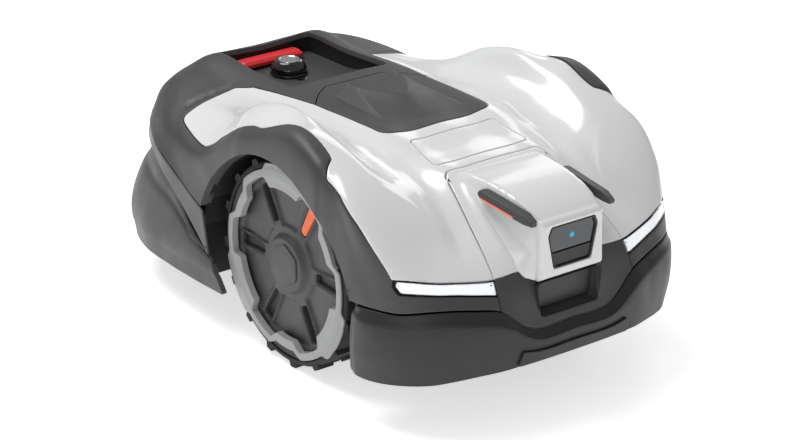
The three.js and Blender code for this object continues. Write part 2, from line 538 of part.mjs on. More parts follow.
// A wheel housing: a wall beside the tyre, with a bore for the axle, and a liner that follows the arch.
function wheelHousing(side) {
  const foot = (points) => [[points[0][0], FLOOR_Z + 1], ...points, [points.at(-1)[0], FLOOR_Z + 1]];
  const outer = foot(archCurve(4, 12)), inner = foot(archCurve(1, 12));
  const place = (outline, x0, x1) => slab(outline, ...(side < 0 ? [-x1, -x0] : [x0, x1]), 'x');
  const wall = cut(place(outer, HOUSING_X, HOUSING_X + 4),
    disc(11, -20, 20, 20).rotate([0, 90, 0]).translate([side * HOUSING_X, WHEEL_Y, TYRE_R]));
  return join(wall, cut(place(outer, HOUSING_X + 3, 226), place(inner, HOUSING_X + 2, 240)));
}

function chassis() {
  const tub = cut(
    slab(rounded(FLOOR), FLOOR_Z, TUB_TOP),
    slab(rounded(shrink(FLOOR, 5)), FLOOR_Z + FLOOR_T, TUB_TOP + 5));
  const casterArch = [-1, 1].map((side) => disc(86, FLOOR_Z - 5, 132, 32)
    .translate([side * CASTER_X, CASTER_PIVOT_Y, 0]));
  const opened = cut(tub, disc(58, FLOOR_Z - 5, FLOOR_Z + 9).translate([0, DISC_Y, 0]), ...casterArch);
  const bridge = cut(
    box(-160, 160, 130, 300, 134, 142),
    ...[-1, 1].map((side) => disc(8.5, 120, 180, 24).translate([side * CASTER_X, CASTER_PIVOT_Y, 0])));
  const housings = [-1, 1].map((side) => wheelHousing(side));
  const legs = [-1, 1].map((side) => box(side * 142 - 9, side * 142 + 9, 130, 142, FLOOR_Z + 2, 138));
  const posts = [[-84, -268, 236], [84, -268, 236], [-120, 150, 262], [120, 150, 262]]
    .map(([x, y, top]) => disc(9, FLOOR_Z + 2, top, 16).translate([x, y, 0]));
  return join(opened, bridge, ...housings, ...legs, ...posts);
}

function wheelMotor() {
  const can = disc(31, -62, -2, 32), gearbox = disc(38, -3, 14, 32);
  const body = join(can, gearbox).rotate([0, 90, 0]).translate([128, WHEEL_Y, TYRE_R]);
  const foot = box(92, 136, WHEEL_Y - 24, WHEEL_Y + 24, FLOOR_Z + FLOOR_T + CLEAR, TYRE_R - 10);
  const bore = disc(8.5, 0, 60, 24).rotate([0, 90, 0]).translate([100, WHEEL_Y, TYRE_R]);
  return cut(join(body, foot), bore);
}

const battery = () => box(-62, 62, -300, -210, FLOOR_Z + FLOOR_T + CLEAR, 134);
const circuitBoard = () => box(-60, 60, 60, 130, 150, 153);

const atDisc = (part) => part.translate([0, DISC_Y, 0]);
const heightCarrier = () => atDisc(join(
  ring(44, 50, 80, 150), ring(14, 46, 118, 123), ring(48, 64, 144, 150)));
const cuttingMotor = () => atDisc(join(
  disc(40, 70, 117.5, 32), disc(13.5, 117, 130, 24), disc(6, 50, 71, 20)));

const BLADE_PIVOT = 86, BLADES = 3;
const bladePin = (k) => {
  const t = 2 * Math.PI * k / BLADES;
  return [BLADE_PIVOT * Math.cos(t), BLADE_PIVOT * Math.sin(t)];
};
function cuttingDisc() {
  const plate = join(disc(DISC_R, DISC_Z, DISC_Z + 4, 48), disc(22, DISC_Z + 3, DISC_Z + 22, 28));
  const bores = range(BLADES, (k) => disc(3.4, 0, 90, 16).translate([...bladePin(k), 0]));
  return atDisc(cut(plate, disc(6.5, DISC_Z + 6, 80, 20), ...bores));
}

function blade(k) {
  const flat = cut(
    slab([[-8, -9], [BLADE_LEN - 8, -9], [BLADE_LEN - 8, 9], [-8, 9]], DISC_Z - 1.6, DISC_Z - 0.5),
    disc(3.4, 0, 90, 16));
  return atDisc(flat.rotate([0, 0, 360 * k / BLADES]).translate([...bladePin(k), 0]));
}

const bladeScrew = (k) => atDisc(join(
  disc(3, DISC_Z - 2, DISC_Z + 7, 16), disc(6, DISC_Z - 4, DISC_Z - 2, 16),
  disc(5.5, DISC_Z + 4.4, DISC_Z + 7, 6)).translate([...bladePin(k), 0]));

const skidPlate = () => atDisc(turned([
  [0, DISC_Z - 10], [50, DISC_Z - 10], [64, DISC_Z - 5], [64, DISC_Z - 3],
  [49, DISC_Z - 7], [5, DISC_Z - 7], [5, DISC_Z - 0.5], [0, DISC_Z - 0.5]], 40));

// The charging contacts lie flat under the recess's ceiling.
const chargeContact = () => box(14, 24, TRAY_BACK - 14, TRAY_BACK - 2, TRAY_TOP - 3, TRAY_TOP - CLEAR);

// ---------------------------------------------------------------- the machine
const finish = (color, roughness = 0.6, metalness = 0, extra = {}) =>
  new THREE.MeshStandardMaterial({ color, roughness, metalness, ...extra });
const WHITE = finish('#f2f3f4', 0.22), DARK = finish('#4b4d50', 0.6), BLACK = finish('#1b1c1e', 0.5);
const BUMPER_DARK = finish('#333538', 0.5), GREY = finish('#9a9da1', 0.5), RUBBER = finish('#161617', 0.85);
const RED = finish('#d8232a', 0.4), ORANGE = finish('#ee5a24', 0.5), STEEL = finish('#b9bdc1', 0.3, 1);
const GLOSS = finish('#0c0d0f', 0.08), GLASS = finish('#0a0f14', 0.05), LIGHT = finish('#ffffff', 0.1);
const BOARD = finish('#1f6b3a', 0.6);

const mower = new THREE.Group();
function add(name, part, material) {
  const mesh = new THREE.Mesh(geometryOf(part), material);
  mesh.name = name;
  mower.add(mesh);
}
function addPair(name, part, material) {
  add(`${name}_right`, mirrored(part), material);
  add(`${name}_left`, part, material);
}

add('upper_shell', whiteShell(), WHITE);
add('label_plate', labelPlate(), WHITE);
add('nose_cover', noseCover(), WHITE);
add('hatch_lid', hatchLid(), DARK);
add('frame', darkFrame(), DARK);
add('grip_panel', gripPanel(), DARK);
add('rear_band', rearBand(), GREY);
add('tail_skirt', tailSkirt(), DARK);
add('bumper', bumper(), BUMPER_DARK);
add('skid_strip', skidStrip(), BUMPER_DARK);
add('camera_bezel', cameraBezel(), BLACK);
add('camera_glass', cameraGlass(), GLASS);
add('camera_lens', cameraLens(), GLOSS);
addPair('fin', fin(), DARK);
addPair('fin_light', finLight(), RED);
addPair('headlight_housing', lampHousing(), BLACK);
addPair('headlight_lens', lampLens(), LIGHT);
add('well_deck', wellDeck(), DARK);
add('stop_button', stopButton(), RED);
add('knob_collar', knobCollar(), GLOSS);
add('knob', knob(), GLOSS);
add('knob_ring', knobRing(), STEEL);
add('knob_cap', knobCap(), GREY);
addPair('tyre', tyre(), RUBBER);
addPair('wheel_rim', wheelRim(), BLACK);
addPair('wheel_trim', wheelTrim(), GREY);
addPair('hub_cover', hubCover(), DARK);
addPair('hub_cap', hubCap(), DARK);
addPair('slot_insert', slotInsert(), ORANGE);
addPair('caster_fork', casterFork(), BLACK);
addPair('caster_wheel', casterWheel(), RUBBER);
add('chassis', chassis(), BLACK);
addPair('wheel_motor', wheelMotor(), STEEL);
addPair('charge_contact', chargeContact(), STEEL);
add('battery', battery(), BLACK);
add('circuit_board', circuitBoard(), BOARD);
add('height_carrier', heightCarrier(), BLACK);
add('cutting_motor', cuttingMotor(), STEEL);
add('cutting_disc', cuttingDisc(), STEEL);
add('skid_plate', skidPlate(), BLACK);
for (let k = 0; k < BLADES; k++) {
  add(`blade_${k + 1}`, blade(k), STEEL);
  add(`blade_screw_${k + 1}`, bladeScrew(k), STEEL);
}

export default mower;
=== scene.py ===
"""Looks of the robotic lawn mower: fine moulded shells, wheels and materials round the CAD frame."""
import json
import math

import bpy
import numpy as np
from mathutils import Matrix, Vector
from mathutils.geometry import delaunay_2d_cdt


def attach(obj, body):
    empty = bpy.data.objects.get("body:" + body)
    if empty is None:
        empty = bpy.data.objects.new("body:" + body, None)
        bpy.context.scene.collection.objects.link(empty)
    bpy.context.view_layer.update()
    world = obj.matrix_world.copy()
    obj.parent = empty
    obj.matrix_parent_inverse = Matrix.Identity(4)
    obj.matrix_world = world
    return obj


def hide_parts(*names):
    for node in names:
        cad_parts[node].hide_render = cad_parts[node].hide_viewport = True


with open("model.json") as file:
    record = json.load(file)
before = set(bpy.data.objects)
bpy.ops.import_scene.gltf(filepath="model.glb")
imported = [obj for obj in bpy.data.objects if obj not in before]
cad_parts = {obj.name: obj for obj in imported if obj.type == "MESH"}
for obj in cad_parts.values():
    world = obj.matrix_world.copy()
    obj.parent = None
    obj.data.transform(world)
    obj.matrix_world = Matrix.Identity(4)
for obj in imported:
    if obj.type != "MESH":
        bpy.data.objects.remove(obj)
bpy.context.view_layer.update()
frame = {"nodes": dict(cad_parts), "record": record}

MM = 0.001
NODE_BODY = {node: body for body, nodes in frame["record"]["behaviour"]["bodies"].items() for node in nodes}

# ---- driving dimensions, millimetres
GAP = 0.7                          # half of the seam between two panels
FLANGE = 2.4                       # thickness of a shell's turned-down edge
SHELL = 2.8                        # thickness of a moulded shell
TYRE_W = 56
WHEEL_X, WHEEL_Y, WHEEL_Z = 190, -76, 141
ARCH_R, ARCH_FLARE = 149, 20
DECK_Z, KNOB_Y, BUTTON_Y = 269, 221, 270
BUTTON_HALF_X, BUTTON_HALF_Y = 52, 12
LOOP_STEP = 4.5                    # distance between the points of a seam
FLOOR_HALF, FLOOR_DROP = 14, 0.0004      # in metres


# ---- camera, floor and light
def aim(obj, eye, target):
    obj.location = eye
    obj.rotation_euler = (Vector(target) - Vector(eye)).to_track_quat("-Z", "Y").to_euler()


def make_camera():
    azimuth, elevation, distance = math.radians(-37.07), math.radians(22.94), 3.466
    target = Vector((0, -0.034, 0.134))
    back = Vector((math.sin(azimuth) * math.cos(elevation), -math.cos(azimuth) * math.cos(elevation),
                   math.sin(elevation)))
    camera = bpy.data.objects.new("camera", bpy.data.cameras.new("camera"))
    camera.data.sensor_width = 36
    camera.data.lens = 117
    camera.data.clip_end = 50
    bpy.context.scene.collection.objects.link(camera)
    aim(camera, target + back * distance, target)
    bpy.context.scene.camera = camera


def softbox(name, eye, target, size, power):
    light = bpy.data.lights.new(name, "AREA")
    light.shape = "RECTANGLE"
    light.size, light.size_y = size
    light.energy = power
    obj = bpy.data.objects.new(name, light)
    bpy.context.scene.collection.objects.link(obj)
    aim(obj, eye, target)


def make_studio():
    softbox("key", (-0.6, 0.8, 2.6), (0, 0, 0.15), (1.6, 1.6), 54)
    softbox("fill", (-2.2, -1.6, 1.2), (0, -0.1, 0.15), (1.2, 0.8), 7)
    softbox("rim", (2.4, 1.6, 1.6), (0, 0, 0.15), (1.2, 1.2), 9)
    bpy.context.scene.view_settings.view_transform = "Standard"
    world = bpy.data.worlds.new("studio")
    world.use_nodes = True
    background = world.node_tree.nodes["Background"]
    background.inputs["Color"].default_value = (1.0, 1.0, 1.0, 1)
    background.inputs["Strength"].default_value = 0.36
    bpy.context.scene.world = world
    corners = ((-1, -1), (1, -1), (1, 1), (-1, 1))
    verts = [(x * FLOOR_HALF, y * FLOOR_HALF, -FLOOR_DROP) for x, y in corners]
    pale = finish("floor", (0.92, 0.92, 0.92), 0.55, tint=0.004,
                  Emission_Color=(1.0, 1.0, 1.0, 1), Emission_Strength=0.62)
    new_object("floor", verts, [(0, 1, 2, 3)], pale)


# ---- materials
def finish(name, color, roughness, grain=(700, 0.12), tint=0.05, spread=0.06, wear=0.0, **sockets):
    """A moulded or metal surface: mottled colour, uneven roughness, fine bump and lighter worn edges."""
    mat = bpy.data.materials.new(name)
    mat.use_nodes = True
    tree = mat.node_tree
    shader = tree.nodes["Principled BSDF"]
    place = tree.nodes.new("ShaderNodeTexCoord").outputs["Object"]

    def noise(scale, detail):
        node = tree.nodes.new("ShaderNodeTexNoise")
        node.inputs["Scale"].default_value = scale
        node.inputs["Detail"].default_value = detail
        tree.links.new(place, node.inputs["Vector"])
        return node.outputs["Fac"]

    def remap(value, low, high, start=0.3, end=0.7):
        node = tree.nodes.new("ShaderNodeMapRange")
        for socket, number in zip(("From Min", "From Max", "To Min", "To Max"), (start, end, low, high)):
            node.inputs[socket].default_value = number
        tree.links.new(value, node.inputs["Value"])
        return node.outputs["Result"]

    def blend(factor, first, second):
        node = tree.nodes.new("ShaderNodeMix")
        node.data_type = "RGBA"
        tree.links.new(factor, node.inputs["Factor"])
        for socket, value in ((node.inputs[6], first), (node.inputs[7], second)):
            if isinstance(value, tuple):
                socket.default_value = value
            else:
                tree.links.new(value, socket)
        return node.outputs[2]

    shade = lambda k: tuple(min(1.0, c * k) for c in color) + (1,)
    cloud, speck = noise(9, 3), noise(grain[0], 2)
    tone = blend(remap(cloud, 0, 1), shade(1 - tint), shade(1 + tint))
    tone = blend(remap(speck, 0, 0.35), tone, shade(1 - 2 * tint))
    if wear:
        edges = tree.nodes.new("ShaderNodeNewGeometry").outputs["Pointiness"]
        tone = blend(remap(edges, 0, wear, 0.52, 0.62), tone, shade(2.2))
    tree.links.new(tone, shader.inputs["Base Color"])
    tree.links.new(remap(noise(26, 4), roughness - spread, roughness + spread), shader.inputs["Roughness"])
    bump = tree.nodes.new("ShaderNodeBump")
    bump.inputs["Strength"].default_value = grain[1]
    bump.inputs["Distance"].default_value = 0.0004
    tree.links.new(speck, bump.inputs["Height"])
    tree.links.new(bump.outputs["Normal"], shader.inputs["Normal"])
    for socket, value in sockets.items():
        shader.inputs[socket.replace("_", " ")].default_value = value
    return mat


FINISHES = {
    "white_shell": dict(color=(0.72, 0.724, 0.732), roughness=0.2, grain=(160, 0.025), tint=0.012,
                        spread=0.03, Coat_Weight=0.35, Coat_Roughness=0.06),
    "dark_shell": dict(color=(0.046, 0.047, 0.049), roughness=0.48, grain=(1300, 0.32), tint=0.07, wear=0.3),
    "bumper_shell": dict(color=(0.013, 0.0133, 0.014), roughness=0.46, grain=(1500, 0.2),
                         tint=0.06, wear=0.3),
    "black_plastic": dict(color=(0.010, 0.010, 0.011), roughness=0.5, grain=(900, 0.15), tint=0.1, wear=0.2),
    "grey_trim": dict(color=(0.30, 0.304, 0.308), roughness=0.38, grain=(1200, 0.12), tint=0.04, wear=0.2),
    "tyre_rubber": dict(color=(0.006, 0.006, 0.006), roughness=0.72, grain=(1100, 0.35), tint=0.15, wear=0.3),
    "red_button": dict(color=(0.66, 0.025, 0.03), roughness=0.4, grain=(1100, 0.15), wear=0.2),
    "orange_insert": dict(color=(0.86, 0.13, 0.03), roughness=0.45, grain=(900, 0.15)),
    "gloss_black": dict(color=(0.006, 0.006, 0.007), roughness=0.12, grain=(300, 0.02), tint=0.1,
                        spread=0.03, Coat_Weight=0.5, Coat_Roughness=0.04),
    "dark_glass": dict(color=(0.008, 0.012, 0.017), roughness=0.06, grain=(200, 0.01), tint=0.1,
                       spread=0.02, Coat_Weight=0.8, Coat_Roughness=0.02),
    "lamp_lens": dict(color=(0.97, 0.98, 1.0), roughness=0.05, grain=(240, 0.02), tint=0.01, spread=0.02,
                      Transmission_Weight=1.0, IOR=1.3),
    "fin_led": dict(color=(0.75, 0.16, 0.10), roughness=0.3, grain=(400, 0.05),
                    Emission_Color=(1.0, 0.25, 0.15, 1), Emission_Strength=0.25),
    "steel": dict(color=(0.56, 0.57, 0.58), roughness=0.3, grain=(500, 0.06), Metallic=1.0),
    "chrome": dict(color=(0.78, 0.79, 0.8), roughness=0.12, grain=(300, 0.02), tint=0.02,
                   spread=0.04, Metallic=1.0),
    "motor_metal": dict(color=(0.30, 0.31, 0.32), roughness=0.42, grain=(600, 0.1), tint=0.08, Metallic=1.0),
    "board_green": dict(color=(0.02, 0.14, 0.05), roughness=0.45, grain=(450, 0.08), tint=0.1),
    # Finishes of single details, beside the record's slots.
    "band_grey": dict(color=(0.065, 0.066, 0.068), roughness=0.42, grain=(1200, 0.15), wear=0.2),
    "knob_grey": dict(color=(0.20, 0.205, 0.21), roughness=0.35, grain=(900, 0.08), tint=0.04),
    # The reflector glows white: a painted shine, standing in for the light the reflector throws back.
    "reflector": dict(color=(0.93, 0.94, 0.95), roughness=0.14, grain=(150, 0.02), tint=0.02, spread=0.04,
                      Emission_Color=(1.0, 1.0, 1.0, 1), Emission_Strength=0.55),
    # The lens glows blue: a painted glint, the small blue reflection seen on the camera lens.
    "lens_blue_painted_glint": dict(color=(0.01, 0.16, 0.28), roughness=0.1, grain=(300, 0.02), tint=0.1, spread=0.02,
                      Emission_Color=(0.02, 0.35, 0.6, 1), Emission_Strength=0.7),
}
MATERIALS = {}


def material(name):
    if name not in MATERIALS:
        MATERIALS[name] = finish(name, **FINISHES[name])
    return MATERIALS[name]


# ---- pieces
def new_object(name, verts, faces, *mats, slots=None):
    mesh = bpy.data.meshes.new(name)
    mesh.from_pydata([tuple(v) for v in verts], [], [tuple(int(k) for k in f) for f in faces])
    for mat in mats:
        mesh.materials.append(mat)
    if slots is not None:
        mesh.polygons.foreach_set("material_index", slots)
    mesh.validate()
    obj = bpy.data.objects.new(name, mesh)
    bpy.context.scene.collection.objects.link(obj)
    return obj


def smooth(mesh, angle):
    """Shade the mesh smooth, apart from edges sharper than the angle in degrees."""
    mesh.polygons.foreach_set("use_smooth", [True] * len(mesh.polygons))
    mesh.set_sharp_from_angle(angle=math.radians(angle))


class Shape:
    """Vertices in millimetres and faces, gathered from lofts, turned profiles and panels."""

    def __init__(self, verts=(), faces=(), slot=0):
        self.verts, self.faces = [tuple(v) for v in verts], [tuple(f) for f in faces]
        self.slots = [slot] * len(self.faces)

    def add(self, other, slot=None):
        base = len(self.verts)
        self.verts += other.verts
        self.faces += [tuple(k + base for k in f) for f in other.faces]
        self.slots += other.slots if slot is None else [slot] * len(other.faces)
        return self

    def moved(self, matrix):
        verts = [tuple(matrix @ Vector(v)) for v in self.verts]
        flip = matrix.to_3x3().determinant() < 0
        faces = [tuple(reversed(f)) for f in self.faces] if flip else self.faces
        out = Shape(verts, faces)
        out.slots = list(self.slots)
        return out

    def piece(self, node, slot, *details, bevel=0.0, sharp=38, look=None):
        """Make the object NODE_skin, which stands for the CAD node and rides on its body."""
        mats = [material(look or slot)] + [material(d) for d in details]
        obj = new_object(f"{node}_skin", [Vector(v) * MM for v in self.verts], self.faces, *mats,
                         slots=self.slots)
        smooth(obj.data, sharp)
        if bevel:
            edge = obj.modifiers.new("bevel", "BEVEL")
            edge.width, edge.segments = bevel * MM, 2
            edge.limit_method, edge.angle_limit = "ANGLE", math.radians(30)
            edge.harden_normals = True
        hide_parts(node)
        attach(obj, NODE_BODY[node])
        return obj


MIRROR = Matrix.Scale(-1, 4, (1, 0, 0))


def pair(shape, name, slot, *details, **options):
    """The same shape on both sides: made for the left (+X) and mirrored for the right."""
    shape.piece(f"{name}_left", slot, *details, **options)
    shape.moved(MIRROR).piece(f"{name}_right", slot, *details, **options)


def loft(rings, closed=True, caps=True):
    """A skin through rings of equal length, capped at both ends."""
    n = len(rings[0])
    verts = [tuple(p) for ring in rings for p in ring]
    faces = []
    for r in range(len(rings) - 1):
        for k in range(n if closed else n - 1):
            a, b = r * n + k, r * n + (k + 1) % n
            faces.append((a, b, b + n, a + n))
    if caps:
        faces.append(tuple(reversed(range(n))))
        faces.append(tuple(range(len(verts) - n, len(verts))))
    return Shape(verts, faces)


def turned(profile, segments=96, closed=False):
    """A solid of revolution about Z through [radius, height] points, from bottom to top."""
    rings = [[(r * math.cos(2 * math.pi * k / segments), r * math.sin(2 * math.pi * k / segments), z)
              for k in range(segments)] for r, z in profile]
    shape = loft(rings, caps=not closed)
    if closed:
        n, last = segments, (len(profile) - 1) * segments
        shape.faces += [(last + k, last + (k + 1) % n, (k + 1) % n, k) for k in range(n)]
        shape.slots += [0] * n
    return shape


def rounded(corners, steps=6):
    """An outline with each corner rounded to its own radius: corners are (a, b, radius)."""
    out = []
    for i, (a, b, *r) in enumerate(corners):
        if not r or not r[0]:
            out.append((a, b))
            continue
        p = np.array((a, b), float)
        before, after = np.array(corners[i - 1][:2]), np.array(corners[(i + 1) % len(corners)][:2])
        u, w = (before - p) / np.linalg.norm(before - p), (after - p) / np.linalg.norm(after - p)
        reach = r[0] / math.tan(math.acos(np.clip(u @ w, -1, 1)) / 2)
        start, end = p + u * reach, p + w * reach
        for t in np.linspace(0, 1, steps + 1):
            out.append(tuple((1 - t) ** 2 * start + 2 * t * (1 - t) * p + t * t * end))
    return out


def resampled(outline, count):
    """The closed outline as count points at even distances, from its first point."""
    pts = np.array([*outline, outline[0]], float)
    length = np.concatenate([[0], np.cumsum(np.linalg.norm(np.diff(pts, axis=0), axis=1))])
    at = np.linspace(0, length[-1], count, endpoint=False)
    return np.stack([np.interp(at, length, pts[:, k]) for k in range(pts.shape[1])], 1)


# ---- the body's lines
# The same lines as the CAD model: from the rear edge over the top to the seam at the nose, at
# fourteen stations, and from the middle of the body to its side. Millimetres.
BODY_LINES = [
    [[0, 350, 236], [0, 340, 262], [0, 317, 281], [0, 285, 293], [0, 187, 300],
     [0, 95, 303], [0, 15, 303], [0, -55, 302], [0, -120, 300], [0, -175, 289],
     [0, -230, 282], [0, -300, 258], [0, -362, 196], [0, -386, 125]],
    [[60, 348, 236], [60, 338, 262], [58, 316, 281], [50, 286, 295], [50, 187, 300],
     [48, 95, 303], [46, 15, 303], [46, -55, 302], [45, -120, 299], [45, -175, 288],
     [45, -230, 281], [48, -300, 252], [52, -363, 195], [62, -385, 126]],
    [[110, 340, 235], [108, 330, 262], [100, 308, 281], [90, 283, 297], [92, 187, 294],
     [90, 97, 299], [88, 15, 301], [85, -55, 303], [82, -118, 302], [77, -175, 289],
     [75, -230, 280], [88, -300, 238], [103, -360, 192], [106, -378, 157]],
    [[129, 332, 234], [127, 322, 261], [118, 303, 279], [112, 276, 290], [112, 187, 284],
     [115, 97, 290], [118, 15, 296], [118, -55, 298], [116, -118, 296], [112, -175, 283],
     [108, -235, 266], [116, -300, 229], [132, -352, 194], [136, -367, 162]],
    [[145, 324, 233], [143, 313, 259], [136, 296, 276], [134, 266, 285], [140, 187, 278],
     [148, 97, 288], [152, 15, 307], [152, -55, 316], [150, -115, 309], [144, -172, 296],
     [134, -237, 275], [125, -297, 233], [150, -346, 196], [158, -359, 165]],
    [[159, 314, 232], [158, 303, 257], [155, 286, 272], [158, 254, 277], [170, 187, 271],
     [180, 97, 286], [181, 15, 326], [181, -50, 340], [180, -115, 330], [178, -170, 315],
     [165, -234, 285], [140, -292, 240], [172, -337, 198], [184, -347, 166]],
    [[170, 305, 231], [173, 288, 252], [174, 268, 263], [180, 234, 267], [197, 187, 257],
     [215, 97, 250], [221, 15, 300], [222, -50, 320], [214, -115, 337], [211, -168, 320],
     [234, -236, 286], [231, -278, 247], [220, -307, 203], [217, -319, 162]],
    [[179, 296, 230], [189, 272, 243], [197, 247, 248], [208, 214, 248], [219, 170, 238],
     [230, 90, 240], [233, 15, 287], [234, -50, 308], [232, -115, 329], [233, -172, 314],
     [238, -225, 272], [237, -250, 225], [234, -264, 190], [231, -283, 160]],
    [[186, 287, 229], [202, 265, 228], [213, 242, 226], [225, 209, 217], [233, 150, 197],
     [237, 87, 171], [238, 15, 152], [238, -55, 147], [238, -120, 147], [238, -180, 149],
     [238, -215, 153], [238, -235, 156], [237, -243, 157], [235, -248, 157]],
]
# Stations and places across at which seams run.
QUARTER, HATCH_FRONT, LAMP_TOP, FRONT = 4, 8, 12, 13
SPINE, EDGE, SKIRT = 2, 6, 8

BUMPER_LINES = [
    [[0, -386, 122], [0, -397, 114], [0, -396, 100], [0, -391, 81]],
    [[62, -385, 123], [62, -396, 115], [62, -395, 100], [62, -390, 81]],
    [[106, -378, 154], [109, -388, 144], [108, -390, 110], [103, -386, 79]],
    [[136, -367, 159], [141, -375, 149], [142, -377, 110], [140, -372, 75]],
    [[158, -359, 162], [164, -365, 152], [165, -367, 110], [162, -362, 72]],
    [[184, -347, 163], [192, -350, 153], [194, -351, 108], [189, -346, 68]],
    [[217, -319, 159], [223, -320, 149], [225, -319, 107], [219, -314, 65]],
    [[231, -283, 157], [239, -283, 147], [240, -280, 105], [234, -276, 62]],
    [[235, -248, 154], [240, -246, 146], [241, -241, 104], [236, -235, 61]],
]
TAIL_LINES = [
    [[0, 397, 50], [0, 401, 98], [0, 385, 150], [0, 352, 208]],
    [[70, 392, 50], [72, 396, 98], [72, 380, 150], [68, 347, 207]],
    [[138, 366, 51], [142, 370, 98], [140, 354, 148], [128, 322, 205]],
    [[196, 318, 52], [200, 322, 98], [197, 305, 145], [174, 286, 200]],
    [[224, 252, 54], [229, 255, 99], [224, 240, 140], [206, 232, 192]],
    [[232, 180, 56], [237, 182, 101], [233, 170, 134], [224, 168, 172]],
    [[235, 110, 58], [239, 114, 101], [237, 112, 114], [231, 114, 126]],
    [[235, 40, 60], [238, 60, 97], [237, 62, 101], [233, 64, 104]],
]
BAND_LINES = [
    [[0, 358, 221], [0, 352, 233]],
    [[70, 354, 220], [66, 349, 233]],
    [[124, 334, 218], [116, 338, 232]],
    [[184, 292, 214], [184, 288, 226]],
    [[213, 246, 208], [211, 244, 223]],
    [[229, 195, 191], [228, 196, 210]],
    [[236, 128, 155], [234, 140, 191]],
    [[237, 72, 109], [237, 84, 168]],
]


def spline(points, t):
    """Centripetal Catmull-Rom curves through points (n, m, size), at t (m,) counted in points."""
    last = len(points) - 1
    i = np.clip(t.astype(int), 0, last - 1)
    m = np.arange(len(t))
    p1, p2 = points[i, m], points[i + 1, m]
    p0 = np.where((i > 0)[:, None], points[np.maximum(i - 1, 0), m], 2 * p1 - p2)
    p3 = np.where((i < last - 1)[:, None], points[np.minimum(i + 2, last), m], 2 * p2 - p1)
    d0, d1, d2 = (np.linalg.norm(b - a, axis=1, keepdims=True) ** 0.5
                  for a, b in ((p0, p1), (p1, p2), (p2, p3)))
    t1 = ((p1 - p0) / d0 - (p2 - p0) / (d0 + d1) + (p2 - p1) / d1) * d1
    t2 = ((p2 - p1) / d1 - (p3 - p1) / (d1 + d2) + (p3 - p2) / d2) * d1
    w = (t - i)[:, None]
    return p1 + t1 * w + (3 * (p2 - p1) - 2 * t1 - t2) * w ** 2 + (2 * (p1 - p2) + t1 + t2) * w ** 3


def curve_through(points, count):
    """count places along one smooth curve through the points."""
    points = np.array(points, float)
    t = np.linspace(0, len(points) - 1, count)
    return spline(np.broadcast_to(points[:, None], (len(points), count, points.shape[1])), t)


